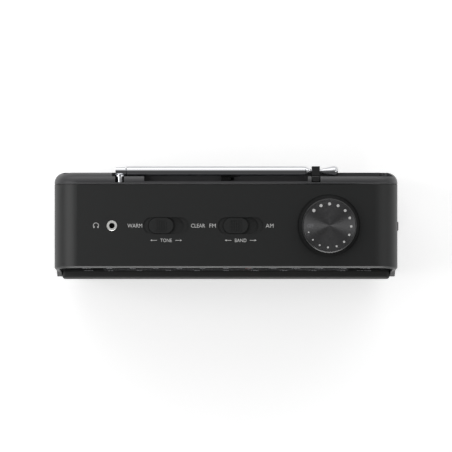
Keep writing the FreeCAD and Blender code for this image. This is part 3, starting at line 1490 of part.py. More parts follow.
def loudspeaker():
    """The basket, magnet, yoke, cone, surround and voice coil on one axis."""
    centre = ("speaker_x", SPEAKER_Z)
    basket = new_body("speaker_basket")
    sheet_in = "basket_sheet"
    profile = [
        (BAFFLE_BACK, SPEAKER_RADIUS),
        (BAFFLE_BACK, SPEAKER_HOLE),
        (f"{BASKET_BACK} - {sheet_in}", "basket_back - basket_sheet"),
        (f"{BASKET_BACK} - {sheet_in}", "magnet_hole - 1"),
        (BASKET_BACK, "magnet_hole - 1"),
        (BASKET_BACK, "basket_back"),
        (f"{BAFFLE_BACK} + {sheet_in}", f"{SPEAKER_HOLE} + basket_sheet"),
        (f"{BAFFLE_BACK} + {sheet_in}", SPEAKER_RADIUS),
    ]
    turned(basket, "Y", centre, profile)
    window = basket.newObject("PartDesign::SubtractiveBox", "BasketWindow")
    bind(window, "Length", "10")
    bind(window, "Width", "basket_depth * 0.5")
    bind(window, "Height", SPEAKER_RADIUS)
    bind(window, ".Placement.Base.x", "speaker_x - 5")
    bind(window, ".Placement.Base.y", f"{BAFFLE_BACK} + basket_depth * 0.25")
    bind(window, ".Placement.Base.z", SPEAKER_Z)
    around = basket.newObject("Sketcher::SketchObject", "SpeakerCentre")
    around.AttachmentSupport = [(origin_plane(basket, "XZ_Plane"), "")]
    around.MapMode = "FlatFace"
    bind(around, ".AttachmentOffset.Base.x", "speaker_x")
    bind(around, ".AttachmentOffset.Base.y", SPEAKER_Z)
    doc.recompute()
    windows = basket.newObject("PartDesign::PolarPattern", "BasketWindows")
    windows.Originals = [window]
    windows.Axis = (around, ["N_Axis"])
    windows.Angle = 360
    windows.Occurrences = 6
    basket.Tip = windows

    magnet = new_body("speaker_magnet")
    tube(magnet, "Y", centre, (BASKET_BACK, MAGNET_BACK), "magnet_radius", "magnet_hole")
    yoke = new_body("speaker_yoke")
    pole_front = f"({BASKET_BACK} - basket_sheet)"
    post = [
        (pole_front, "0"),
        (pole_front, "pole_radius"),
        (MAGNET_BACK, "pole_radius"),
        (MAGNET_BACK, "yoke_radius"),
        (f"{MAGNET_BACK} + yoke_thick", "yoke_radius"),
        (f"{MAGNET_BACK} + yoke_thick", "0"),
    ]
    turned(yoke, "Y", centre, post)

    coil = new_body("voice_coil")
    neck = f"({BASKET_BACK} - 5)"
    tube(coil, "Y", centre, (neck, f"{BASKET_BACK} + 2"), "coil_inner + coil_wall", "coil_inner")
    cone = new_body("speaker_cone")
    rim = f"({SPEAKER_HOLE} - 2 * surround_roll - 2.2)"
    lip = f"({BAFFLE_BACK} + 0.6)"
    cap = "(coil_inner + coil_wall)"
    shell = [
        (lip, rim),
        (f"{neck} - cone_sheet", cap),
        (f"{neck} - 2.6", "coil_inner * 0.6"),
        (f"{neck} - 3.2", "0"),
        (f"{neck} - 3.2 + cone_sheet", "0"),
        (f"{neck} - 2.6 + cone_sheet", "coil_inner * 0.6"),
        (f"{neck} - cone_sheet / 2", "coil_inner"),
        (neck, "coil_inner"),
        (neck, cap),
        (f"{lip} + 1.5 * cone_sheet", rim),
    ]
    turned(cone, "Y", centre, shell)
    surround = new_body("speaker_surround")
    outer = f"({SPEAKER_HOLE} - 1)"
    roll = "surround_roll"
    mid = f"({rim} + {roll})"
    arch = [
        (lip, rim),
        (f"{lip} - 1.2", f"{mid} - {roll} * 0.6"),
        (f"{lip} - 1.6", mid),
        (f"{lip} - 1.2", f"{mid} + {roll} * 0.6"),
        (f"{lip}", f"{mid} + {roll}"),
        (f"{lip}", outer),
        (f"{lip} + 0.5", outer),
        (f"{lip} + 0.5", f"{mid} + {roll} - 0.3"),
        (f"{lip} - 0.7", f"{mid} + {roll} * 0.5"),
        (f"{lip} - 1.1", mid),
        (f"{lip} - 0.7", f"{mid} - {roll} * 0.5"),
        (f"{lip} + 0.5", f"{rim} + 0.3"),
        (f"{lip} + 0.5", rim),
    ]
    turned(surround, "Y", centre, arch)


# ---- Mains supply ----


def mains_transformer():
    """The laminated core with its feet, and the winding round its middle leg."""
    core = new_body("transformer_core")
    x = (f"{CORE_X} - core_width / 2", f"{CORE_X} + core_width / 2")
    y = ("core_front", "core_front + core_thick")
    foot = f"({FLOOR} + 1)"
    head = f"({foot} + core_height)"
    block(core, x, y, (foot, head))
    window_z = (f"{foot} + core_leg", f"{head} - core_leg")
    left = (f"{x[0]} + core_leg", f"{CORE_X} - core_leg")
    right = (f"{CORE_X} + core_leg", f"{x[1]} - core_leg")
    for window in (left, right):
        block(core, window, y, window_z, cut=True)
    plate_x = (f"{x[0]} - plate_reach", f"{x[1]} + plate_reach")
    block(core, plate_x, y, (FLOOR, foot))
    coil = new_body("transformer_winding")
    gap = "fit_gap"
    outer_x = (f"{left[0]} + {gap}", f"{right[1]} - {gap}")
    outer_y = (f"{y[0]} - coil_overhang", f"{y[1]} + coil_overhang")
    outer_z = (f"{window_z[0]} + {gap}", f"{window_z[1]} - {gap}")
    block(coil, outer_x, outer_y, outer_z)
    dress(coil, "Fillet", "coil_overhang / 3", lambda edge: along(edge, "Z"))
    inner_x = (f"{CORE_X} - core_leg - {gap}", f"{CORE_X} + core_leg + {gap}")
    inner_y = (f"{y[0]} - {gap}", f"{y[1]} + {gap}")
    block(coil, inner_x, inner_y, outer_z, cut=True)


def mains_inlet():
    """The figure-of-eight mains socket in the back cover and its two pins."""
    body = new_body("mains_inlet")
    x = (f"{INLET_X} - inlet_width / 2", f"{INLET_X} + inlet_width / 2")
    z = ("inlet_z - inlet_height / 2", "inlet_z + inlet_height / 2")
    mouth = f"({BACK} - 0.4)"
    block(body, x, (f"{mouth} - inlet_depth", mouth), z)
    floor = f"({mouth} - inlet_recess)"
    for side in "-+":
        centre = (f"{INLET_X} {side} inlet_pitch / 2", "inlet_z")
        rod(body, "Y", centre, (floor, f"{mouth} + 0.1"), "inlet_lobe", cut=True)
        rod(body, "Y", centre, (f"{mouth} - inlet_depth", floor), "inlet_pin + run_gap", cut=True)
    waist_x = (f"{INLET_X} - inlet_pitch / 2", f"{INLET_X} + inlet_pitch / 2")
    waist_z = ("inlet_z - inlet_lobe * 0.7", "inlet_z + inlet_lobe * 0.7")
    block(body, waist_x, (floor, f"{mouth} + 0.1"), waist_z, cut=True)
    pins = new_body("inlet_pins")
    for side in "-+":
        centre = (f"{INLET_X} {side} inlet_pitch / 2", "inlet_z")
        rod(pins, "Y", centre, (f"{mouth} - inlet_depth - 3", f"{mouth} - 2.5"), "inlet_pin")


# ---- Batteries ----


def bay(start, end):
    """Two places along X, counted from the middle of the battery bay."""
    return f"{BAY_X} + ({start})", f"{BAY_X} + ({end})"


def battery_box():
    """The open-backed box with a shelf between two rows of cells."""
    body = new_body("battery_box")
    block(body, bay(f"-{BOX_HALF}", BOX_HALF), (BOX_FRONT, BACK_IN), (BOX_FOOT, BOX_HEAD))
    front = f"({BOX_FRONT} + box_wall)"
    inside = bay(f"-{BOX_IN}", BOX_IN)
    block(body, inside, (front, BACK_IN), (f"{BOX_FOOT} + box_wall", SHELF_FOOT), cut=True)
    upper = (f"{SHELF_FOOT} + shelf", f"{BOX_HEAD} - box_wall")
    block(body, inside, (front, BACK_IN), upper, cut=True)


def battery_cells():
    """Four cells, two in line on each shelf, with their raised positive ends."""
    body = new_body("battery_cells")
    start = f"{BAY_X} - cell_length + (spring_length - contact_sheet) / 2"
    for row in (LOWER_CELLS, UPPER_CELLS):
        for first in (start, f"{start} + cell_length"):
            profile = [
                (f"{first} + 0.02", "0"),
                (f"{first} + 0.02", "cell_radius"),
                (f"{first} + cell_length - 1.6", "cell_radius"),
                (f"{first} + cell_length - 1.6", "2.6"),
                (f"{first} + cell_length", "2.6"),
                (f"{first} + cell_length", "0"),
            ]
            turned(body, "X", (CELL_Y, row), profile)


def battery_contacts():
    """The flat contacts at one end of each row and the coil springs at the other."""
    body = new_body("contact_plates", kept=False)
    half = "cell_radius * 0.7"
    deep = (f"{CELL_Y} - {half}", f"{CELL_Y} + {half}")
    for row in (LOWER_CELLS, UPPER_CELLS):
        tall = (f"{row} - {half}", f"{row} + {half}")
        block(body, bay(f"-{BOX_IN}", f"-{BOX_IN} + contact_sheet"), deep, tall)
        block(body, bay(f"{BOX_IN} - contact_sheet", BOX_IN), deep, tall)
    first = f"-{BOX_IN} + contact_sheet + spring_wire"
    last = "-cell_length + (spring_length - contact_sheet) / 2 - spring_wire"
    start, end = (value(place) for place in bay(first, last))
    springs = [coil_spring(start, end, value(row)) for row in (LOWER_CELLS, UPPER_CELLS)]
    group = doc.addObject("Part::Compound", "BatteryContacts")
    group.Links = [body, *springs]
    group.Label = "battery_contacts"
    parts["battery_contacts"] = group


def coil_spring(start, end, height):
    """A round-wire spring along X between two places."""
    wire = value("spring_wire")
    radius = value("spring_radius")
    turns = 3
    helix = Part.makeHelix((end - start) / turns, end - start, radius)
    ring = Part.Circle(Vector(radius, 0, 0), Vector(0, 1, 0), wire)
    spring = doc.addObject("Part::Feature", fresh("Spring"))
    spring.Shape = Part.Wire(helix).makePipeShell([Part.Wire(ring.toShape())], True, True)
    spring.Placement = Placement(Vector(start, value(CELL_Y), height), TURNS["X"])
    return spring


def battery_door():
    """The door over the batteries, hinged at its foot, with the keeper for the latch."""
    body = new_body("battery_door")
    block(body, bay(f"-{DOOR_HALF}", DOOR_HALF), (DOOR_FRONT, BACK), (DOOR_FOOT, DOOR_HEAD))
    dress(body, "Fillet", "0.8", at_the_doors_foot)
    keeper_y = (DOOR_FRONT, f"{DOOR_FRONT} + 1.2")
    keeper_z = (f"{DOOR_HEAD} - 0.5", f"{BED_FLOOR} - 0.1")
    block(body, bay("keeper_left", "keeper_right"), keeper_y, keeper_z)
    for side in "-+":
        reach = bay(f"{side}({DOOR_HALF} - 1)", f"{side}({DOOR_HALF} + hinge_reach)")
        rod(body, "X", (HINGE_Y, HINGE_Z), sorted(reach, key=value), "hinge_pin")
    for step in range(5):
        height = f"{DOOR_HEAD} - 6 - {step} * 3"
        groove = (f"{height} - 0.6", f"{height} + 0.6")
        block(body, bay("-12", "12"), (f"{BACK} - 0.6", f"{BACK} + 0.1"), groove, cut=True)


def at_the_doors_foot(edge):
    """Pick the two long edges of the door beside its hinge."""
    return along(edge, "X") and near(edge.CenterOfMass.z, DOOR_FOOT)


def battery_latch():
    """The ribbed slide above the door whose tail slips behind the door's keeper."""
    body = new_body("battery_latch")
    floor = f"({NOTCH_FLOOR} + 0.1)"
    pad = bay("-latch_half", "latch_half")
    pad_y = (f"{NOTCH_FRONT} + 0.3", BED_FRONT)
    block(body, pad, pad_y, (floor, f"{floor} + 3.4"))
    dress(body, "Chamfer", "0.5", lambda edge: near(edge.BoundBox.ZMin, f"{floor} + 3.4"))
    above = (f"{floor} + 2.8", f"{floor} + 3.5")
    for step in range(4):
        middle = f"({step} - 1.5) * latch_half * 0.5"
        groove = bay(f"{middle} - 0.4", f"{middle} + 0.4")
        block(body, groove, (NOTCH_FRONT, f"{BED_FRONT} + 0.1"), above, cut=True)
    tail_y = f"{DOOR_FRONT} + 1.5"
    low = (floor, f"{BED_FLOOR} - 0.1")
    block(body, bay("-latch_half", "0"), (f"{BED_FRONT} - 0.1", f"{tail_y} + 0.4"), low)
    tail = bay("-latch_half", "keeper_left - 0.4")
    block(body, tail, (tail_y, f"{tail_y} + 0.9"), low)
    stem = bay("-stem_side / 2", "stem_side / 2")
    stem_y = (f"{NOTCH_FRONT} + 1.1", f"{BED_FRONT} - 0.8")
    block(body, stem, stem_y, (f"{RAIL_FOOT} - 1.2", floor))
    foot_y = (f"{NOTCH_FRONT} + 0.3", f"{BED_FRONT} - 0.2")
    block(body, pad, foot_y, (f"{RAIL_FOOT} - 1.2", f"{RAIL_FOOT} - 0.2"))


# ---- Telescopic antenna ----


def antenna_base():
    """The swivel: a riveted journal, a barrel, a flange and a squared fork for the first tube."""
    body = new_body("antenna_base")
    shoulder = f"({SEAM} + 1)"
    flange = f"({BED_FRONT} + 0.15)"
    pin = ("antenna_x", ANTENNA_Y)
    fork = ("antenna_x - fork_left", "antenna_x + fork_reach")
    around = (f"{ANTENNA_Z} - tube_radius - 0.1", f"{ANTENNA_Z} + tube_radius + 0.1")
    rod(body, "X", (ANTENNA_Y, ANTENNA_Z), fork, "tube_radius")
    tube(body, "Z", pin, around, "fork_reach + 2", "fork_reach", cut=True)
    profile = [
        (f"{PIVOT_FRONT} - 1.4", "0"),
        (f"{PIVOT_FRONT} - 1.4", "pivot_radius + 0.5"),
        (f"{PIVOT_FRONT} - 0.9", "pivot_radius + 0.9"),
        (f"{PIVOT_FRONT} + 1.3", "pivot_radius + 0.9"),
        (f"{PIVOT_FRONT} + 1.3", "pivot_radius"),
        (shoulder, "pivot_radius"),
        (shoulder, "barrel_radius"),
        (flange, "barrel_radius"),
        (flange, "tube_radius + 0.35"),
        (f"{flange} + flange_thick", "tube_radius + 0.35"),
        (f"{flange} + flange_thick", "tube_radius * 0.7"),
        (f"{ANTENNA_Y} - tongue_radius - 0.2", "tube_radius * 0.7"),
        (f"{ANTENNA_Y} - tongue_radius - 0.2", "0"),
    ]
    turned(body, "Y", ("antenna_x", ANTENNA_Z), profile)
    tongue = "(tube_radius * 0.42 + 0.15)"
    wide = ("antenna_x - 5", "antenna_x + 5")
    gap_y = (f"{ANTENNA_Y} - tongue_radius - 0.1", f"{ANTENNA_Y} + 5")
    block(body, wide, gap_y, (f"{ANTENNA_Z} - {tongue}", f"{ANTENNA_Z} + {tongue}"), cut=True)
    high = "(tube_radius - 0.3)"
    rod(body, "Z", pin, (f"{ANTENNA_Z} - {high}", f"{ANTENNA_Z} + {high}"), "fold_pin")


def antenna_tubes():
    """Three nested tubes, the last rod with its tip, and the neck's sleeve."""
    centre = (ANTENNA_Y, ANTENNA_Z)
    start = "(antenna_x + tube_start)"
    outer = new_body("antenna_tube_1")
    first = [
        (start, "0"),
        (start, "tube_radius - 0.4"),
        (f"{start} + 0.4", "tube_radius"),
        (f"{NECK} - 0.3", "tube_radius"),
        (NECK, "tube_radius - 0.3"),
        (NECK, "tube_radius - tube_sheet"),
        (f"{start} + tube_nest", "tube_radius - tube_sheet"),
        (f"{start} + tube_nest", "0"),
    ]
    turned(outer, "X", centre, first)
    half = "tube_radius * 0.42"
    tongue_y = (f"{ANTENNA_Y} - tongue_radius", f"{ANTENNA_Y} + tongue_radius")
    thick = (f"{ANTENNA_Z} - {half}", f"{ANTENNA_Z} + {half}")
    pin = ("antenna_x", ANTENNA_Y)
    block(outer, ("antenna_x", f"{start} + 1"), tongue_y, thick)
    rod(outer, "Z", pin, thick, "tongue_radius")
    rod(outer, "Z", pin, thick, "fold_pin + run_gap", cut=True)
    for number in (2, 3):
        inner = new_body(f"antenna_tube_{number}")
        step = f"({number} - 1)"
        radius = f"(tube_radius - {step} * tube_step)"
        low = f"({start} + tube_nest + {step} * tube_nest)"
        high = f"({NECK} + {step} * tube_show)"
        bore = f"({radius} - tube_sheet)"
        tube_profile = [
            (low, bore),
            (low, radius),
            (f"{high} - 0.3", radius),
            (high, f"{radius} - 0.3 + 0.15"),
            (high, bore),
        ]
        turned(inner, "X", centre, tube_profile)
    tip = new_body("antenna_tip")
    rod_radius = "(tube_radius - 3 * tube_step)"
    low = f"({start} + 4 * tube_nest)"
    shoulder = f"({NECK} + 3 * tube_show)"
    whole = [
        (low, "0"),
        (low, rod_radius),
        (shoulder, rod_radius),
        (f"{shoulder} + 0.6", "tip_shank"),
        (TIP_START, "tip_shank"),
        (TIP_START, "tip_shank + 0.2"),
        (f"{TIP_END} - 2.8", "tip_radius"),
        (f"{TIP_END} - 1.9", "tip_radius"),
        (f"{TIP_END} - 1", "tip_radius * 0.87"),
        (f"{TIP_END} - 0.3", "tip_radius * 0.6"),
        (TIP_END, "tip_radius * 0.28"),
        (TIP_END, "0"),
    ]
    turned(tip, "X", centre, whole)
    sleeve = new_body("neck_sleeve")
    length = (CRADLE_LEFT, CRADLE_RIGHT)
    clip_y = (f"{ANTENNA_Y} - clip_half", f"{ANTENNA_Y} + clip_half")
    clip_z = (f"{ANTENNA_Z} - clip_half", f"{ANTENNA_Z} + clip_half")
    block(sleeve, length, clip_y, clip_z)
    dress(sleeve, "Fillet", "0.4", lambda edge: along(edge, "X"))
    rod(sleeve, "X", centre, length, "tip_shank + 0.02", cut=True)


def antenna_cradle():
    """The L-shaped rest that the sleeve on the antenna's neck drops into."""
    body = new_body("antenna_cradle")
    x = (CRADLE_LEFT, CRADLE_RIGHT)
    floor = f"({NOTCH_FLOOR} - 0.1)"
    seat = f"{ANTENNA_Z} - clip_half - 2 * run_gap"
    block(body, x, (f"{SEAM} + 1", f"{ANTENNA_Y} + clip_half"), (floor, seat))
    wall = f"{ANTENNA_Y} - clip_half - 2 * run_gap"
    block(body, x, (f"{SEAM} + 1", wall), (floor, CRADLE_HEAD))
    dress(body, "Fillet", "0.6", lambda edge: near(edge.BoundBox.ZMin, CRADLE_HEAD))


# ---- Fasteners ----


def screw(label, length):
    """A pan-head screw whose head's underside is at its own origin, pointing along +Z."""
    body = new_body(label, kept=False)
    profile = [
        ("-screw_head", "0"),
        ("-screw_head", "screw_head_radius * 0.6"),
        ("-screw_head * 0.5", "screw_head_radius"),
        ("0", "screw_head_radius"),
        ("0", "screw_radius"),
        (f"{length} - 1.5", "screw_radius"),
        (length, "screw_radius * 0.4"),
        (length, "0"),
    ]
    turned(body, "Z", ("0", "0"), profile)
    cross = ("-screw_head - 0.1", "-screw_head * 0.3")
    arm = ("-screw_head_radius * 0.45", "screw_head_radius * 0.45")
    thin = ("-screw_head_radius * 0.12", "screw_head_radius * 0.12")
    block(body, arm, thin, cross, cut=True)
    block(body, thin, arm, cross, cut=True)
    return body


def screw_group(label, master, places):
    """Copies of one screw, each at a place with a rotation, as one node."""
    copies = []
    for place, turn in places:
        copy = doc.addObject("App::Link", fresh("ScrewCopy"))
        copy.LinkedObject = master
        copy.Placement = Placement(Vector(), turn)
        for letter, text in zip("xyz", place):
            bind(copy, f".Placement.Base.{letter}", text)
        copies.append(copy)
    group = doc.addObject("Part::Compound", fresh("Screws"))
    group.Links = copies
    group.Label = label
    parts[label] = group


def screws():
    """The case screws in the back, and the short screws of the boards and the chassis."""
    forward = Rotation(Vector(1, 0, 0), 90)
    upward = Rotation()
    downward = Rotation(Vector(1, 0, 0), 180)
    seat = f"{SEAM} + screw_seat"
    case = [
        ((f"{side}{BOSS_X}", seat, height), forward)
        for side in "-+"
        for height in (BOSS_HEAD, BOSS_FOOT)
    ]
    screw_group("case_screws", screw("case_screw", "screw_length"), case)
    inner = [
        ((x, y, CONTROL_FOOT), upward)
        for x in (CONTROL_POST_LEFT, CONTROL_POST_RIGHT)
        for y in ("control_post_front", "control_post_back")
    ]
    inner += [
        ((x, y, "main_rise + board_thick"), downward)
        for x in (f"-{MAIN_POST_X}", MAIN_POST_X)
        for y in ("main_post_front", "main_post_back")
    ]
    inner += [((x, CHASSIS_BACK, height), forward) for x, height in CHASSIS_SCREWS]
    bracket_face = f"{CHASSIS_BACK} + bracket_sheet"
    inner += [((x, bracket_face, height), forward) for x, height in BRACKET_SCREWS]
    screw_group("inner_screws", screw("inner_screw", "short_screw"), inner)


def check_and_write():
    """Stop on anything that failed, then write each sub-part."""
    doc.recompute()
    for item in doc.Objects:
        if {"Invalid", "Error"} & set(item.State):
            raise ValueError(f"{item.Label} ({item.Name}) failed: {item.State}")
        base = getattr(item, "BaseFeature", None)
        takes_away = any(kind in item.TypeId for kind in ("Pocket", "Groove", "Subtractive"))
        if takes_away and base and item.Shape.Volume >= base.Shape.Volume - 1e-6:
            raise ValueError(f"{item.Name} of {item.getParentGeoFeatureGroup().Label} cuts nothing")
    os.makedirs("parts", exist_ok=True)
    for label, item in parts.items():
        shape = item.Shape
        if shape.isNull() or not shape.isValid() or not shape.Solids:
            raise ValueError(f"{label} has no valid solid")
        shape.exportStep(f"parts/{label}.step")
    print(f"{len(parts)} sub-parts written")


BUILDERS = [
    front_cabinet,
    back_cover,
    rubber_feet,
    speaker_grille,
    dial_lens,
    dial_scale,
    dial_pointer,
    pointer_rail,
    speaker_baffle,
    chassis,
    cord_drive,
    dial_cord,
    tuning_shaft,
    tuning_wheel,
    varicon_gear,
    tuning_capacitor,
    tuner_bracket,
    ferrite_aerial,
    volume_knob,
    volume_pot,
    pot_nut,
    headphone_jack,
    control_board,
    main_board,
    board_parts,
    loudspeaker,
    mains_transformer,
    mains_inlet,
    battery_box,
    battery_cells,
    battery_contacts,
    battery_door,
    battery_latch,
    antenna_base,
    antenna_tubes,
    antenna_cradle,
    screws,
]

for name, place in (("tone", "tone_x"), ("band", "band_x")):
    slide_switch(name, place)
for build in BUILDERS:
    build()
check_and_write()
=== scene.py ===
"""Looks of a tabletop radio with a telescopic antenna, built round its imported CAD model.

Lengths are in metres. X runs to the tuning wheel's side, Y to the back and Z up.
"""

import math

import bpy
import numpy as np
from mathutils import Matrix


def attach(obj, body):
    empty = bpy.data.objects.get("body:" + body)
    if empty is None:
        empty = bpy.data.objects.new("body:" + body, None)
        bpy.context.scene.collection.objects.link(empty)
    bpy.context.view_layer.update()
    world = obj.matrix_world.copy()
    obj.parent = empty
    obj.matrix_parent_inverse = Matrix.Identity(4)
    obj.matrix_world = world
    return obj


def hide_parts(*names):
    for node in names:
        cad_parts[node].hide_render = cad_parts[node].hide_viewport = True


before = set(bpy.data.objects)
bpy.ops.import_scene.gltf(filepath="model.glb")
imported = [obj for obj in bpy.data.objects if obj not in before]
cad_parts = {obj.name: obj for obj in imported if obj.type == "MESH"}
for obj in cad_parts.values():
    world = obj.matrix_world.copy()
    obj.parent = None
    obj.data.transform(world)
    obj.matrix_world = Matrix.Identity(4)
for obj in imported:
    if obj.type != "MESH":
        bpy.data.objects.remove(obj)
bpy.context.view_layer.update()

MM = 0.001
TOP = 126 * MM  # height of the cabinet's top panel
KNOB_X = 66 * MM  # the knob's axis, seen from the middle
KNOB_TOP = 135 * MM
LEAN = math.radians(5.3)  # the leaning front's angle from upright, foot forward
FRONT_HEAD = -27 * MM  # where the leaning front meets the top panel
WINDOW_FACE = 0.35 * MM  # from the leaning front back to the print on the window
PRINT = 0.03 * MM  # how far a printed mark stands out of its panel


# ---- Colours and materials ----


def linear(hex_colour):
    """The linear RGBA of an sRGB hex value: each channel is raised to 2.4 above the toe."""
    channels = [int(hex_colour[place : place + 2], 16) / 255 for place in (1, 3, 5)]
    lit = [c / 12.92 if c <= 0.04045 else ((c + 0.055) / 1.055) ** 2.4 for c in channels]
    return (*lit, 1.0)


def add_node(material, kind, settings=None, **links):
    """Add a node, fill its properties and input values, and link the named inputs."""
    tree = material.node_tree
    made = tree.nodes.new(kind)
    for key, number in (settings or {}).items():
        if isinstance(key, str) and hasattr(made, key):
            setattr(made, key, number)
        else:
            made.inputs[key].default_value = number
    for key, source in links.items():
        wanted = int(key[1:]) if key[0] == "n" and key[1:].isdigit() else key.replace("_", " ")
        tree.links.new(source, made.inputs[wanted])
    return made


NOISE_GRAIN = 0.6  # about how wide a grain is in a noise texture of scale 1
WAVE_PITCH = math.pi / 10  # how far apart the lines lie in a wave texture of scale 1


def start_material(name, hex_colour, metallic, roughness, more=None):
    """A material whose shader has its constants on its own sockets; returns both."""
    material = bpy.data.materials.new(name)
    material.use_nodes = True
    shader = material.node_tree.nodes["Principled BSDF"]
    shader.inputs["Base Color"].default_value = linear(hex_colour)
    shader.inputs["Metallic"].default_value = metallic
    shader.inputs["Roughness"].default_value = roughness
    for key, number in (more or {}).items():
        shader.inputs[key].default_value = number
    material.diffuse_color = linear(hex_colour)
    return material, shader


def grained(name, hex_colour, metallic, roughness, grain, depth, more=None):
    """A surface with an even random grain: noise of one size, in metres, as a bump."""
    material, shader = start_material(name, hex_colour, metallic, roughness, more)
    place = add_node(material, "ShaderNodeTexCoord")
    noise = add_node(
        material,
        "ShaderNodeTexNoise",
        {"Scale": NOISE_GRAIN / grain, "Detail": 2.0, "Roughness": 0.6},
        Vector=place.outputs["Object"],
    )
    bump = add_node(
        material,
        "ShaderNodeBump",
        {"Strength": 1.0, "Distance": depth},
        Height=noise.outputs["Fac"],
    )
    material.node_tree.links.new(bump.outputs["Normal"], shader.inputs["Normal"])
    return material


def eroded_abs():
    """ABS moulded in a spark-eroded tool: an even, fine grit that spreads every highlight."""
    grit = 0.5 * MM  # drawn a little coarser than the real 0.2 mm, so that it shows
    soft = {"Specular IOR Level": 0.42, "IOR": 1.53}
    return grained("eroded_abs", "#191a1a", 0.0, 0.44, grit, 0.012 * MM, soft)


def fine_abs():
    """ABS moulded in a finely eroded tool, glossier than the front shell; its paler grey is painted
    light, standing in for the light the rear cover catches.
    """
    return grained("fine_abs", "#323234", 0.0, 0.38, 0.4 * MM, 0.008 * MM, {"IOR": 1.53})


def polished_abs():
    """ABS from a polished tool: dark, with clear small highlights on its edges."""
    glossy = {"Specular IOR Level": 0.5, "IOR": 1.53}
    return grained("polished_abs", "#151516", 0.0, 0.22, 3 * MM, 0.002 * MM, glossy)


def satin_abs():
    """ABS from a finely blasted tool, a little smoother than the cabinet's."""
    return grained("satin_abs", "#1a1a1b", 0.0, 0.38, 0.4 * MM, 0.006 * MM)


def powder_coated_steel():
    """Steel sheet with a baked powder coat: matt, with a faint orange peel."""
    peel = 0.7 * MM
    soft = {"Specular IOR Level": 0.4}
    return grained("powder_coated_steel", "#2b2b2b", 0.0, 0.55, peel, 0.02 * MM, soft)


def clear_acrylic():
    """Injection-moulded acrylic with a light smoke tint: flat, glossy and mostly clear."""
    clear = {"Alpha": 0.3, "IOR": 1.49}
    return start_material("clear_acrylic", "#0e0f10", 0.0, 0.04, clear)[0]


def chrome_plate():
    """Brass tube with bright chrome plate: a mirror. Its dark edge tint is a painted reflection of
    shaded floor, darkening it towards its outline.
    """
    # The dark edge tint is painted reflection: it stands in for the shaded floor that the tube's
    # outline mirrors.
    edge = {"Specular Tint": linear("#5c5e62")}
    return start_material("chrome_plate", "#d9dadd", 1.0, 0.06, edge)[0]


def spun_aluminium():
    """Dark anodised disc faced on a lathe: its rings draw each light out into a wedge."""
    turned = {"Anisotropic": 0.85, "Anisotropic Rotation": 0.25}
    material, shader = start_material("spun_aluminium", "#6c6c6d", 1.0, 0.31, turned)
    around = add_node(material, "ShaderNodeTangent", {"direction_type": "RADIAL", "axis": "Z"})
    material.node_tree.links.new(around.outputs["Tangent"], shader.inputs["Tangent"])
    place = add_node(material, "ShaderNodeTexCoord")
    centred = add_node(
        material,
        "ShaderNodeMapping",
        {"vector_type": "POINT", "Location": (-KNOB_X, 0.0, 0.0)},
        Vector=place.outputs["Object"],
    )
    pitch = 0.5 * MM  # the cutter's feed, drawn coarser than the real 0.1 mm
    rings = add_node(
        material,
        "ShaderNodeTexWave",
        {
            "wave_type": "RINGS",
            "rings_direction": "Z",
            "wave_profile": "SIN",
            "Scale": WAVE_PITCH / pitch,
            "Distortion": 0.0,
        },
        Vector=centred.outputs["Vector"],
    )
    bump = add_node(
        material,
        "ShaderNodeBump",
        {"Strength": 1.0, "Distance": 0.003 * MM},
        Height=rings.outputs["Fac"],
    )
    material.node_tree.links.new(bump.outputs["Normal"], shader.inputs["Normal"])
    return material


def striped(name, dark, light, metallic, roughness, axis, pitch, depth):
    """Fine parallel lines along one axis, in colour and relief: plies, turns of wire or cord."""
    material, shader = start_material(name, light, metallic, roughness)
    place = add_node(material, "ShaderNodeTexCoord")
    lines = add_node(
        material,
        "ShaderNodeTexWave",
        {"bands_direction": axis, "Scale": WAVE_PITCH / pitch, "Distortion": 0.0},
        Vector=place.outputs["Object"],
    )
    ramp = add_node(material, "ShaderNodeValToRGB", Fac=lines.outputs["Fac"])
    ramp.color_ramp.elements[0].color = linear(dark)
    ramp.color_ramp.elements[1].color = linear(light)
    bump = add_node(
        material,
        "ShaderNodeBump",
        {"Strength": 1.0, "Distance": depth},
        Height=lines.outputs["Fac"],
    )
    links = material.node_tree.links
    links.new(ramp.outputs["Color"], shader.inputs["Base Color"])
    links.new(bump.outputs["Normal"], shader.inputs["Normal"])
    return material


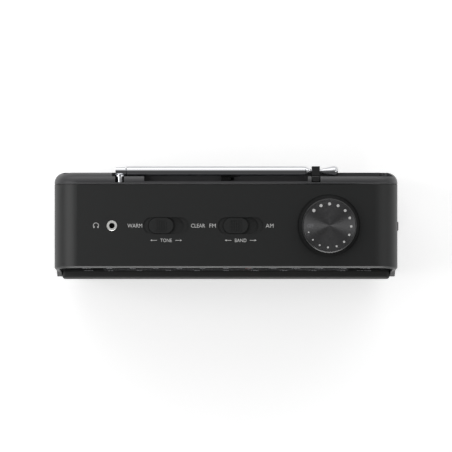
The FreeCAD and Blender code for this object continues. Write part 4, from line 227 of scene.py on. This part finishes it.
def make_finishes():
    """Every finish of the radio by name."""
    return {
        "eroded_abs": eroded_abs(),
        "fine_abs": fine_abs(),
        "polished_abs": polished_abs(),
        "satin_abs": satin_abs(),
        "powder_coated_steel": powder_coated_steel(),
        "clear_acrylic": clear_acrylic(),
        "chrome_plate": chrome_plate(),
        "spun_aluminium": spun_aluminium(),
        # Satin nickel on brass: the socket's ring, pale from every side.
        "satin_nickel": start_material("satin_nickel", "#dcdcda", 1.0, 0.5)[0],
        # Silk-screen ink: flat, slightly raised pale grey marks.
        "screen_ink": start_material("screen_ink", "#bebebd", 0.0, 0.6)[0],
        # The same ink printed thin and grey, for OFF on the disc and for the dial's scales.
        "grey_ink": start_material("grey_ink", "#77777a", 0.0, 0.6)[0],
        # Dial plate: polystyrene sheet sprayed matt black.
        "sprayed_plate": start_material("sprayed_plate", "#0c0c0d", 0.0, 0.5)[0],
        # Needle: acetal moulded in orange, a little shiny.
        "orange_acetal": start_material("orange_acetal", "#ff6a26", 0.0, 0.35)[0],
        # Sheet steel with bright zinc: grey, half dull, faintly spangled.
        "zinc_steel": grained("zinc_steel", "#a3a6a8", 1.0, 0.36, 2.5 * MM, 0.006 * MM),
        # Turned aluminium and brass rods: brighter, with soft highlights.
        "turned_aluminium": start_material("turned_aluminium", "#c4c5c7", 1.0, 0.25)[0],
        "turned_brass": start_material("turned_brass", "#c9a45a", 1.0, 0.24)[0],
        # Natural acetal pulleys: creamy and waxy.
        "natural_acetal": start_material("natural_acetal", "#dcd8ca", 0.0, 0.4)[0],
        # Fired ferrite: grey-black, ground dull.
        "fired_ferrite": grained("fired_ferrite", "#2a2a2d", 0.2, 0.5, 0.8 * MM, 0.01 * MM),
        # Glass-epoxy board under green solder resist: smooth, with a clear gloss.
        "green_laminate": grained("green_laminate", "#1f4a2c", 0.0, 0.3, 1.5 * MM, 0.004 * MM),
        # Pressed paper pulp: soft black felt with no shine.
        "pressed_paper": grained("pressed_paper", "#1b1b1b", 0.0, 0.9, 0.9 * MM, 0.05 * MM),
        # Moulded rubber: dull and dark.
        "moulded_rubber": grained("moulded_rubber", "#161616", 0.0, 0.75, 0.6 * MM, 0.01 * MM),
        # Shrink sleeves over cans and cells: thin glossy film.
        "blue_sleeve": start_material("blue_sleeve", "#1d2a4e", 0.0, 0.28)[0],
        "silver_sleeve": start_material("silver_sleeve", "#84868b", 0.6, 0.32)[0],
        # Moulded polystyrene case of the tuning capacitor: milky.
        "milky_polystyrene": start_material("milky_polystyrene", "#cfcabb", 0.0, 0.3)[0],
        # Half-millimetre silicon steel plies, drawn at 1 mm, under brown varnish.
        "steel_plies": striped(
            "steel_plies", "#2d2a27", "#5a5651", 0.7, 0.45, "Y", 1 * MM, 0.05 * MM
        ),
        # Enamelled copper wire in close turns, drawn at 0.8 mm.
        "copper_turns": striped(
            "copper_turns", "#5a2a14", "#b3683a", 0.9, 0.3, "Z", 0.8 * MM, 0.1 * MM
        ),
        # The aerial's turns run round its rod, side by side along X.
        "aerial_turns": striped(
            "aerial_turns", "#6b3a1c", "#c98a52", 0.6, 0.35, "X", 0.7 * MM, 0.1 * MM
        ),
        # Braided polyester cord, its strands drawn as short bands along X.
        "braided_cord": striped(
            "braided_cord", "#8d8672", "#d2cab2", 0.0, 0.8, "X", 0.8 * MM, 0.03 * MM
        ),
    }


FINISHES = make_finishes()

NODE_FINISHES = {
    "eroded_abs": ["front_cabinet", "tone_slider", "band_slider"],
    # The rear cover, its door and the seam lip share a paler grey that is painted light.
    "fine_abs": ["back_cover", "battery_door"],
    "satin_abs": [
        "speaker_baffle",
        "battery_box",
        "tuning_wheel",
        "volume_knob",
        "antenna_cradle",
        "neck_sleeve",
        "mains_inlet",
    ],
    "polished_abs": ["battery_latch", "headphone_jack"],
    "clear_acrylic": ["dial_lens"],
    "sprayed_plate": ["dial_scale"],
    "orange_acetal": ["dial_pointer"],
    "powder_coated_steel": ["speaker_grille"],
    "chrome_plate": [
        "antenna_base",
        "antenna_tube_1",
        "antenna_tube_2",
        "antenna_tube_3",
        "antenna_tip",
    ],
    "satin_nickel": ["jack_ring"],
    "spun_aluminium": ["knob_disc"],
    "zinc_steel": [
        "chassis",
        "tuner_bracket",
        "speaker_basket",
        "speaker_yoke",
        "volume_pot",
        "pot_nut",
        "tone_switch",
        "band_switch",
        "case_screws",
        "inner_screws",
        "battery_contacts",
        "pointer_rail",
    ],
    "turned_aluminium": ["volume_shaft", "coil_cans"],
    "turned_brass": ["tuning_shaft", "varicon_gear", "inlet_pins"],
    "natural_acetal": ["cord_drum", "left_pulley", "right_pulley"],
    "fired_ferrite": ["ferrite_rod", "speaker_magnet"],
    "green_laminate": ["control_board", "main_board"],
    "pressed_paper": ["speaker_cone"],
    "moulded_rubber": ["speaker_surround", "rubber_feet"],
    "blue_sleeve": ["filter_capacitors"],
    "silver_sleeve": ["battery_cells"],
    "milky_polystyrene": ["tuning_capacitor"],
    "steel_plies": ["transformer_core"],
    "copper_turns": ["transformer_winding", "voice_coil"],
    "aerial_turns": ["aerial_coil"],
    "braided_cord": ["dial_cord"],
}


def paint(piece, finish):
    """Give a piece one finish."""
    piece.data.materials.clear()
    piece.data.materials.append(FINISHES[finish])


def new_piece(name, points, faces, finish, body, smooth=False):
    """Put computed points and faces in a mesh at the origin that rides on a CAD body."""
    mesh = bpy.data.meshes.new(name)
    mesh.from_pydata(points.tolist(), [], faces)
    mesh.polygons.foreach_set("use_smooth", np.full(len(faces), smooth))
    mesh.update()
    piece = bpy.data.objects.new(name, mesh)
    bpy.context.scene.collection.objects.link(piece)
    paint(piece, finish)
    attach(piece, body)
    return piece


# ---- Printed marks ----


def plate_faces(count):
    """Faces of a flat plate: its top, its foot, and a side for each edge of the outline."""
    step = np.arange(count)
    follow = (step + 1) % count
    sides = np.stack([step, step + count, follow + count, follow], axis=1)
    return [list(range(count)), list(range(2 * count - 1, count - 1, -1)), *sides.tolist()]


def plate(outline):
    """A plate over an outline: the outline's points at the print's height, and again below."""
    ink = np.full((len(outline), 1), PRINT)
    return np.vstack([np.hstack([outline, ink]), np.hstack([outline, -ink])]), plate_faces(len(outline))


def disc(centre, radius):
    """A round dot: centre plus radius times the cosine and sine of 24 even angles."""
    angle = np.linspace(0, 2 * math.pi, 24, endpoint=False)
    ring = np.stack([np.cos(angle), np.sin(angle)], axis=1) * radius
    return plate(np.array(centre) + ring)


def bar(start, end, width):
    """A straight stroke: both ends, each half a width to either side of the line."""
    start = np.array(start, float)
    end = np.array(end, float)
    along = (end - start) / np.linalg.norm(end - start)
    across = np.array([-along[1], along[0]]) * width / 2
    return plate(np.array([start + across, start - across, end - across, end + across]))


def arrow(tail, tip, width):
    """A thin arrow: a stroke and a triangular head whose tip is at the end."""
    tail = np.array(tail, float)
    tip = np.array(tip, float)
    along = (tip - tail) / np.linalg.norm(tip - tail)
    across = np.array([-along[1], along[0]])
    neck = tip - along * width * 4
    head = plate(np.array([tip, neck + across * width * 2, neck - across * width * 2]))
    return [bar(tail, neck + along * width * 0.2, width), head]


def bow(centre, radius, width):
    """A headband: an arc of 220 degrees at an outer radius, and back at an inner one."""
    angle = np.linspace(math.radians(-20), math.radians(200), 21)
    ring = np.stack([np.cos(angle), np.sin(angle)], axis=1)
    outline = np.vstack([ring * (radius + width / 2), ring[::-1] * (radius - width / 2)])
    return plate(np.array(centre) + outline)


def word(text, centre, height, stretch=1.0):
    """A word as a closed thin solid, centred on a point; its letters fill the given height."""
    curve = bpy.data.curves.new("word", "FONT")
    curve.body = text
    curve.align_x = "CENTER"
    curve.align_y = "CENTER"
    curve.resolution_u = 3
    curve.extrude = PRINT
    typeset = bpy.data.objects.new("word", curve)
    bpy.context.scene.collection.objects.link(typeset)
    bpy.context.view_layer.update()
    mesh = bpy.data.meshes.new_from_object(typeset.evaluated_get(bpy.context.evaluated_depsgraph_get()))
    points = np.zeros(len(mesh.vertices) * 3)
    mesh.vertices.foreach_get("co", points)
    points = points.reshape(-1, 3)
    faces = [list(face.vertices) for face in mesh.polygons]
    middle = (points.min(0) + points.max(0)) / 2
    size = height / (points[:, 1].max() - points[:, 1].min())
    points = (points - middle) * np.array([size * stretch, size, 1.0])
    points[:, :2] += np.array(centre)
    bpy.data.objects.remove(typeset)
    bpy.data.curves.remove(curve)
    bpy.data.meshes.remove(mesh)
    return points, faces


def gather(shapes):
    """Several meshes as one: points stacked, each mesh's faces moved on by those before."""
    points = []
    faces = []
    count = 0
    for some_points, some_faces in shapes:
        points.append(some_points)
        faces += [[index + count for index in face] for face in some_faces]
        count += len(some_points)
    return np.vstack(points), faces


def lay_on_top(points, height):
    """Flat marks keep their X and Y and lie on a level panel."""
    return points + np.array([0.0, 0.0, height])


def lay_on_dial(points):
    """Marks drawn as X and height stand on the face of the leaning window."""
    across, height, out = points.T
    middle = FRONT_HEAD - (TOP - height) * math.tan(LEAN) + WINDOW_FACE
    forward = middle - out * math.cos(LEAN)
    return np.stack([across, forward, height - out * math.sin(LEAN)], axis=1)


def mm_points(*numbers):
    """Millimetres to metres."""
    return tuple(number * MM for number in numbers)


# Each switch, in millimetres: its caption and middle, a word and its place for each end of its
# slide, and how wide those words are set.
SWITCH_WORDS = (
    ("TONE", -38.4, ("WARM", -58.5), ("CLEAR", -17.9), 0.86),
    ("BAND", 9.4, ("FM", -8.6), ("AM", 28.0), 1.0),
)


def panel_print():
    """The words and arrows of both switches and the headphone sign, on the top panel."""
    caption_row = -9.4
    arrow_tail, arrow_tip = 5.9, 10.2
    marks = headphone_sign(-83.4, 0.1)
    for caption, middle, left_end, right_end, stretch in SWITCH_WORDS:
        marks.append(word(caption, mm_points(middle, caption_row), 2.2 * MM, 0.88))
        for text, place in (left_end, right_end):
            marks.append(word(text, mm_points(place, 0), 2.5 * MM, stretch))
        for side in (-1, 1):
            tail = mm_points(middle + side * arrow_tail, caption_row)
            tip = mm_points(middle + side * arrow_tip, caption_row)
            marks += arrow(tail, tip, 0.3 * MM)
    points, faces = gather(marks)
    new_piece("panel_print", lay_on_top(points, TOP), faces, "screen_ink", "cabinet")


def headphone_sign(x, y):
    """A headphone: a bow over two upright ear pads."""
    foot, head = y - 1.55, y - 0.3
    pads = [
        bar(mm_points(x + side * 1.3, foot), mm_points(x + side * 1.3, head), 0.8 * MM)
        for side in (-1, 1)
    ]
    return [bow(mm_points(x, y), 1.7 * MM, 0.4 * MM), *pads]


def knob_print():
    """OFF and a row of 14 dots that grow round the knob's disc."""
    ring = 13.9 * MM
    least, growth = 0.48 * MM, 0.045 * MM
    dots = []
    for step in range(14):
        angle = math.radians(197.4 + 22.95 * step)
        centre = (KNOB_X + ring * math.cos(angle), ring * math.sin(angle))
        dots.append(disc(centre, least + growth * step))
    points, faces = gather(dots)
    new_piece("knob_dots", lay_on_top(points, KNOB_TOP), faces, "screen_ink", "volume_control")
    points, faces = word("OFF", mm_points(53.9, 0), 2.2 * MM, 0.78)
    new_piece("knob_off", lay_on_top(points, KNOB_TOP), faces, "grey_ink", "volume_control")


# The dial, in millimetres. Each band: its name, unit and numbers, the heights of the numbers and of
# the base line, the ticks' length (down or up), and the unit's height and width.
NEEDLE_REACH = 75.4
NAME_REACH = 90
DIAL_BANDS = (
    ("FM", "MHz", list(range(88, 109, 2)), 115.5, 110.6, -1.2, 2.6, 0.9),
    ("AM", "x10 kHz", [53, 60, 70, 80, 90, 100, 120, 140, 160], 97.0, 101.9, 1.2, 2.4, 0.8),
)


def dial_print():
    """Two tuning scales: numbers, ticks and the base lines, with each band's name and unit."""
    marks = []
    for band, unit, numbers, row, line, tick, unit_height, unit_stretch in DIAL_BANDS:
        places = np.linspace(-NEEDLE_REACH, NEEDLE_REACH, len(numbers))
        for place, number in zip(places, numbers):
            marks.append(word(str(number), mm_points(place, row), 3.0 * MM, 0.9))
        end = NEEDLE_REACH + 4
        marks.append(bar(mm_points(-end, line), mm_points(end, line), 0.3 * MM))
        for place in np.linspace(-NEEDLE_REACH, NEEDLE_REACH, 5 * (len(numbers) - 1) + 1):
            marks.append(bar(mm_points(place, line), mm_points(place, line + tick), 0.25 * MM))
        marks.append(word(band, mm_points(-NAME_REACH, row), 3.0 * MM))
        marks.append(word(unit, mm_points(NAME_REACH, row), unit_height * MM, unit_stretch))
    points, faces = gather(marks)
    new_piece("dial_print", lay_on_dial(points), faces, "grey_ink", "cabinet")


# ---- Perforated grille ----

GRILLE_FRONT = -35.13 * MM
GRILLE_BEND = 2.2 * MM  # outer radius of the pan's bent edge
GRILLE_SHEET = 0.9 * MM
GRILLE_WALL = 9 * MM  # from the front to the back edge of the side and foot walls
GRILLE_HEAD_WALL = 6.3 * MM  # the same for the wall under the dial
HOLE_PITCH = 3.6 * MM
HOLE_RADIUS = 1 * MM
FIELD_HALF = 105.4 * MM  # the flat field inside the bends
FIELD_FOOT = 10.1 * MM
FIELD_HEAD = 85.8 * MM
FIELD_CORNER = 9.5 * MM
SPECK = 1e-9  # a length that counts as nothing


def field_edge(points):
    """Pull points in to the flat field: clip to its rectangle, then round the foot's corners."""
    x = np.clip(points[:, 0], -FIELD_HALF, FIELD_HALF)
    z = np.clip(points[:, 1], FIELD_FOOT, FIELD_HEAD)
    from_x = np.abs(x) - (FIELD_HALF - FIELD_CORNER)
    from_z = FIELD_FOOT + FIELD_CORNER - z
    reach = np.hypot(from_x, from_z)
    outside = (from_x > 0) & (from_z > 0) & (reach > FIELD_CORNER)
    pull = np.where(outside, FIELD_CORNER / np.maximum(reach, SPECK), 1.0)
    x = np.where(outside, np.sign(x) * (FIELD_HALF - FIELD_CORNER + from_x * pull), x)
    z = np.where(outside, FIELD_FOOT + FIELD_CORNER - from_z * pull, z)
    return np.stack([x, z], axis=1)


def punched_field():
    """The flat field as hexagons with round holes.

    Cell centres lie on a triangular lattice. In each cell, 12 points on the hole's circle
    are joined to 12 points on the hexagon's edge, in front and behind, and the hole's two
    circles are joined by its wall. Cells across the field's edge are cut to it. Where that
    leaves no room for a hole they are closed by a fan, and cells outside are left out.
    """
    row_pitch = HOLE_PITCH * math.sqrt(3) / 2
    middle = (FIELD_FOOT + FIELD_HEAD) / 2
    last_column = math.ceil(FIELD_HALF / HOLE_PITCH)
    last_row = math.ceil((FIELD_HEAD - middle) / row_pitch)
    columns = np.arange(-last_column, last_column + 1)
    rows = np.arange(-last_row, last_row + 1)
    column, row = [grid.ravel() for grid in np.meshgrid(columns, rows)]
    across = (column + 0.5 * (row % 2)) * HOLE_PITCH
    centres = np.stack([across, middle + row * row_pitch], axis=1)
    angle = np.radians(np.arange(12) * 30.0)
    turn = np.stack([np.cos(angle), np.sin(angle)], axis=1)
    reach = np.where(np.arange(12) % 2 == 0, HOLE_PITCH / 2, HOLE_PITCH / math.sqrt(3))
    free = centres[:, None] + turn * reach[:, None]
    rim = field_edge(free.reshape(-1, 2)).reshape(-1, 12, 2)
    room = np.linalg.norm(rim - centres[:, None], axis=2).min(axis=1)
    inside = field_edge(centres)
    whole = (room > HOLE_RADIUS * 1.25) & (np.abs(inside - centres).max(axis=1) < SPECK)
    hole = np.where(whole[:, None, None], centres[:, None] + turn * HOLE_RADIUS, inside[:, None])
    keep = (np.linalg.norm(rim - free, axis=2) < SPECK).any(axis=1)
    rim = rim[keep]
    hole = hole[keep]
    whole = whole[keep]
    front = GRILLE_FRONT
    back = GRILLE_FRONT + GRILLE_SHEET

    def at_depth(flat, depth):
        flat = flat.reshape(-1, 2)
        return np.stack([flat[:, 0], np.full(len(flat), depth), flat[:, 1]], axis=1)

    points = np.vstack(
        [at_depth(rim, front), at_depth(hole, front), at_depth(hole, back), at_depth(rim, back)]
    )
    count = len(rim) * 12
    cell = np.arange(len(rim))[:, None] * 12
    here = cell + np.arange(12)
    there = cell + (np.arange(12) + 1) % 12
    faces = []
    for ring in range(3):
        used = whole if ring == 1 else np.ones(len(rim), bool)
        quads = np.stack(
            [
                here + ring * count,
                there + ring * count,
                there + (ring + 1) * count,
                here + (ring + 1) * count,
            ],
            axis=2,
        )[used]
        faces += quads.reshape(-1, 4).tolist()
    return points, faces


def grille_rim():
    """The pan's bent edge and walls: one profile carried round the field's outline.

    The outline is a path with an outward direction at each point. The profile bends back
    through a quarter circle, runs to the pan's back edge and returns inside by the sheet.
    """
    quarter = np.linspace(0, math.pi / 2, 13)
    foot_right = np.stack([np.sin(quarter), -np.cos(quarter)], axis=1)
    foot_left = np.stack([-np.cos(quarter), -np.sin(quarter)], axis=1)
    head_left = np.stack([-np.cos(quarter), np.sin(quarter)], axis=1)
    head_right = np.stack([np.sin(quarter), np.cos(quarter)], axis=1)
    inner = FIELD_HALF - FIELD_CORNER
    low = FIELD_FOOT + FIELD_CORNER
    path = np.vstack(
        [
            np.array([inner, low]) + foot_right * FIELD_CORNER,
            np.tile([FIELD_HALF, FIELD_HEAD], (13, 1)),
            np.tile([-FIELD_HALF, FIELD_HEAD], (13, 1)),
            np.array([-inner, low]) + foot_left * FIELD_CORNER,
        ]
    )
    outward = np.vstack([foot_right, head_right[::-1], head_left[::-1], foot_left])
    faces_up = outward[:, 1] > 0.7
    wall = np.where(faces_up, GRILLE_HEAD_WALL, GRILLE_WALL)
    bend = np.linspace(0, math.pi / 2, 9)
    thin = GRILLE_BEND - GRILLE_SHEET
    wall_out = [GRILLE_BEND, thin]
    out = np.concatenate([GRILLE_BEND * np.sin(bend), wall_out, thin * np.sin(bend[::-1])])
    bent = np.tile(GRILLE_BEND * (1 - np.cos(bend)), (len(path), 1))
    returned = np.tile(GRILLE_SHEET + thin * (1 - np.cos(bend[::-1])), (len(path), 1))
    depth = np.hstack([bent, np.tile(wall[:, None], 2), returned])
    spot = path[:, None] + outward[:, None] * out[None, :, None]
    points = np.stack([spot[:, :, 0], GRILLE_FRONT + depth, spot[:, :, 1]], axis=2)
    rings, steps = depth.shape
    here = np.arange(rings)[:, None] * steps + np.arange(steps - 1)
    there = (np.arange(rings)[:, None] + 1) % rings * steps + np.arange(steps - 1)
    quads = np.stack([here, here + 1, there + 1, there], axis=2)
    return points.reshape(-1, 3), quads.reshape(-1, 4).tolist()


def grille():
    """The whole perforated pan in place of its plain sub-part."""
    points, faces = gather([punched_field(), grille_rim()])
    piece = new_piece("perforated_grille", points, faces, "powder_coated_steel", "cabinet")
    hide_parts("speaker_grille")


# ---- Lip over the seam ----

CORNER_RADIUS = 15.5 * MM  # the cabinet's upper corners, seen from the front
CORNER_X = 95.5 * MM
CORNER_Z = TOP - CORNER_RADIUS
LIP_Y = 27.2 * MM
LIP_HALF = 0.45 * MM  # half its width, from front to back
LIP_HEIGHT = 0.35 * MM
LIP_SUNK = 0.05 * MM


def seam_lip():
    """A low rounded lip over the seam: an ellipse's upper half carried along the cabinet's outline.

    The path runs level over the top and down both corners by 45 degrees. The lip's height
    falls there with the cosine of twice the angle, so that it sinks into the corner.
    """
    turn = np.radians(np.linspace(0, 45, 13))
    angle = np.concatenate([-turn[::-1], turn])
    middle = np.repeat([-CORNER_X, CORNER_X], len(turn))
    outward = np.stack([np.sin(angle), np.cos(angle)], axis=1)
    base = np.stack([middle, np.full(len(angle), CORNER_Z)], axis=1) + outward * CORNER_RADIUS
    height = LIP_HEIGHT * np.cos(2 * angle)
    round_it = np.linspace(0, 2 * math.pi, 24, endpoint=False)
    rise = height[:, None] * np.maximum(np.sin(round_it), 0) - LIP_SUNK
    depth = np.tile(LIP_Y + LIP_HALF * np.cos(round_it), (len(angle), 1))
    spot = base[:, None] + outward[:, None] * rise[:, :, None]
    points = np.stack([spot[:, :, 0], depth, spot[:, :, 1]], axis=2)
    rings, steps = depth.shape
    here = np.arange(rings - 1)[:, None] * steps + np.arange(steps)
    next_step = np.arange(rings - 1)[:, None] * steps + (np.arange(steps) + 1) % steps
    quads = np.stack([here, next_step, next_step + steps, here + steps], axis=2)
    faces = quads.reshape(-1, 4).tolist()
    new_piece("seam_lip", points.reshape(-1, 3), faces, "fine_abs", "cabinet", smooth=True)


# ---- Studio ----

FLOOR_HALF = 6.0
FLOOR_LIFT = 0.47  # the glow that brings the bare floor up to white in the view
CAMERA_ABOVE = 1.6  # above the top panel
CAMERA_Y = -0.2 * MM
VIEW_ACROSS = 289.9128 * MM  # what the view takes in at the top panel's height
FILM = 36.0
AIM = (0.0, 0.0, 0.1)  # what every lamp faces

# Each lamp: its name and place, its width and height in metres, and its power in watts.
SOFTBOXES = (
    ("left_box", (-0.75, 0.0, 0.9), 0.5, 0.9, 4.4),
    ("right_box", (0.8, 0.0, 0.9), 0.5, 0.9, 1.6),
    ("front_strip", (0.0, -1.2, 0.2), 1.4, 0.25, 12),
    ("back_box", (0.0, 1.1, 0.7), 2.2, 0.5, 5),
)

# Grey of the room by direction: each ramp goes from its first pair to its second, as
# (how far the direction points along the axis, grey).
ROOM_RAMPS = (
    ("Y", ((0.15, 0.08), (0.6, 0.95))),
    ("Z", ((0.1, 0.75), (0.5, 0.05))),
)


def studio_floor():
    """A wide pale floor that the eye sees as white where no shadow falls."""
    material, shader = start_material("pale_floor", "#e6e6e6", 0.0, 0.9)
    path = add_node(material, "ShaderNodeLightPath")
    seen = add_node(
        material,
        "ShaderNodeMath",
        {"operation": "MAXIMUM"},
        n0=path.outputs["Is Camera Ray"],
        n1=path.outputs["Is Glossy Ray"],
    )
    through = add_node(
        material,
        "ShaderNodeMath",
        {"operation": "MAXIMUM"},
        n0=seen.outputs[0],
        n1=path.outputs["Is Transmission Ray"],
    )
    lift = add_node(
        material,
        "ShaderNodeMath",
        {"operation": "MULTIPLY", 1: FLOOR_LIFT},
        n0=through.outputs[0],
    )
    shader.inputs["Emission Color"].default_value = (1.0, 1.0, 1.0, 1.0)
    material.node_tree.links.new(lift.outputs[0], shader.inputs["Emission Strength"])
    corners = [(x * FLOOR_HALF, y * FLOOR_HALF, 0) for x, y in ((-1, -1), (1, -1), (1, 1), (-1, 1))]
    mesh = bpy.data.meshes.new("floor")
    mesh.from_pydata(corners, [], [(0, 1, 2, 3)])
    floor = bpy.data.objects.new("floor", mesh)
    bpy.context.scene.collection.objects.link(floor)
    mesh.materials.append(material)


def studio_world():
    """A room that is dark overhead and in front, and pale behind and near the horizon.

    One ramp runs from the front to the back and one upwards, and the lighter of the two counts.
    """
    world = bpy.data.worlds.new("studio")
    bpy.context.scene.world = world
    world.use_nodes = True
    place = add_node(world, "ShaderNodeTexCoord")
    parts = add_node(world, "ShaderNodeSeparateXYZ", Vector=place.outputs["Generated"])
    ramps = []
    for axis, stops in ROOM_RAMPS:
        ramp = add_node(world, "ShaderNodeValToRGB", Fac=parts.outputs[axis])
        for element, (position, grey) in zip(ramp.color_ramp.elements, stops):
            element.position = position
            element.color = (grey, grey, grey, 1.0)
        ramps.append(ramp)
    lighter = add_node(
        world,
        "ShaderNodeMath",
        {"operation": "MAXIMUM"},
        n0=ramps[0].outputs["Color"],
        n1=ramps[1].outputs["Color"],
    )
    background = world.node_tree.nodes["Background"]
    world.node_tree.links.new(lighter.outputs[0], background.inputs["Color"])
    background.inputs["Strength"].default_value = 1.0


def softbox(name, place, width, height, power):
    """A rectangular soft light that faces the radio."""
    data = bpy.data.lights.new(name, "AREA")
    data.shape = "RECTANGLE"
    data.size = width
    data.size_y = height
    data.energy = power
    lamp = bpy.data.objects.new(name, data)
    bpy.context.scene.collection.objects.link(lamp)
    lamp.location = place
    direction = np.array(AIM) - np.array(place)
    yaw = math.atan2(direction[0], -direction[1])
    pitch = math.atan2(math.hypot(direction[0], direction[1]), -direction[2])
    lamp.rotation_euler = (pitch, 0.0, math.pi + yaw)


def studio_camera():
    """A camera straight above the radio, over the row of controls."""
    data = bpy.data.cameras.new("camera")
    data.sensor_width = FILM
    data.lens = FILM * CAMERA_ABOVE / VIEW_ACROSS
    data.clip_start = 0.01
    data.clip_end = 50.0
    camera = bpy.data.objects.new("camera", data)
    bpy.context.scene.collection.objects.link(camera)
    camera.location = (0.0, CAMERA_Y, TOP + CAMERA_ABOVE)
    bpy.context.scene.camera = camera


# ---- The radio in its studio ----

for finish, members in NODE_FINISHES.items():
    for member in members:
        paint(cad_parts[member], finish)
grille()
seam_lip()
panel_print()
knob_print()
dial_print()
studio_floor()
studio_world()
for lamp in SOFTBOXES:
    softbox(*lamp)
studio_camera()
bpy.context.scene.view_settings.view_transform = "Standard"
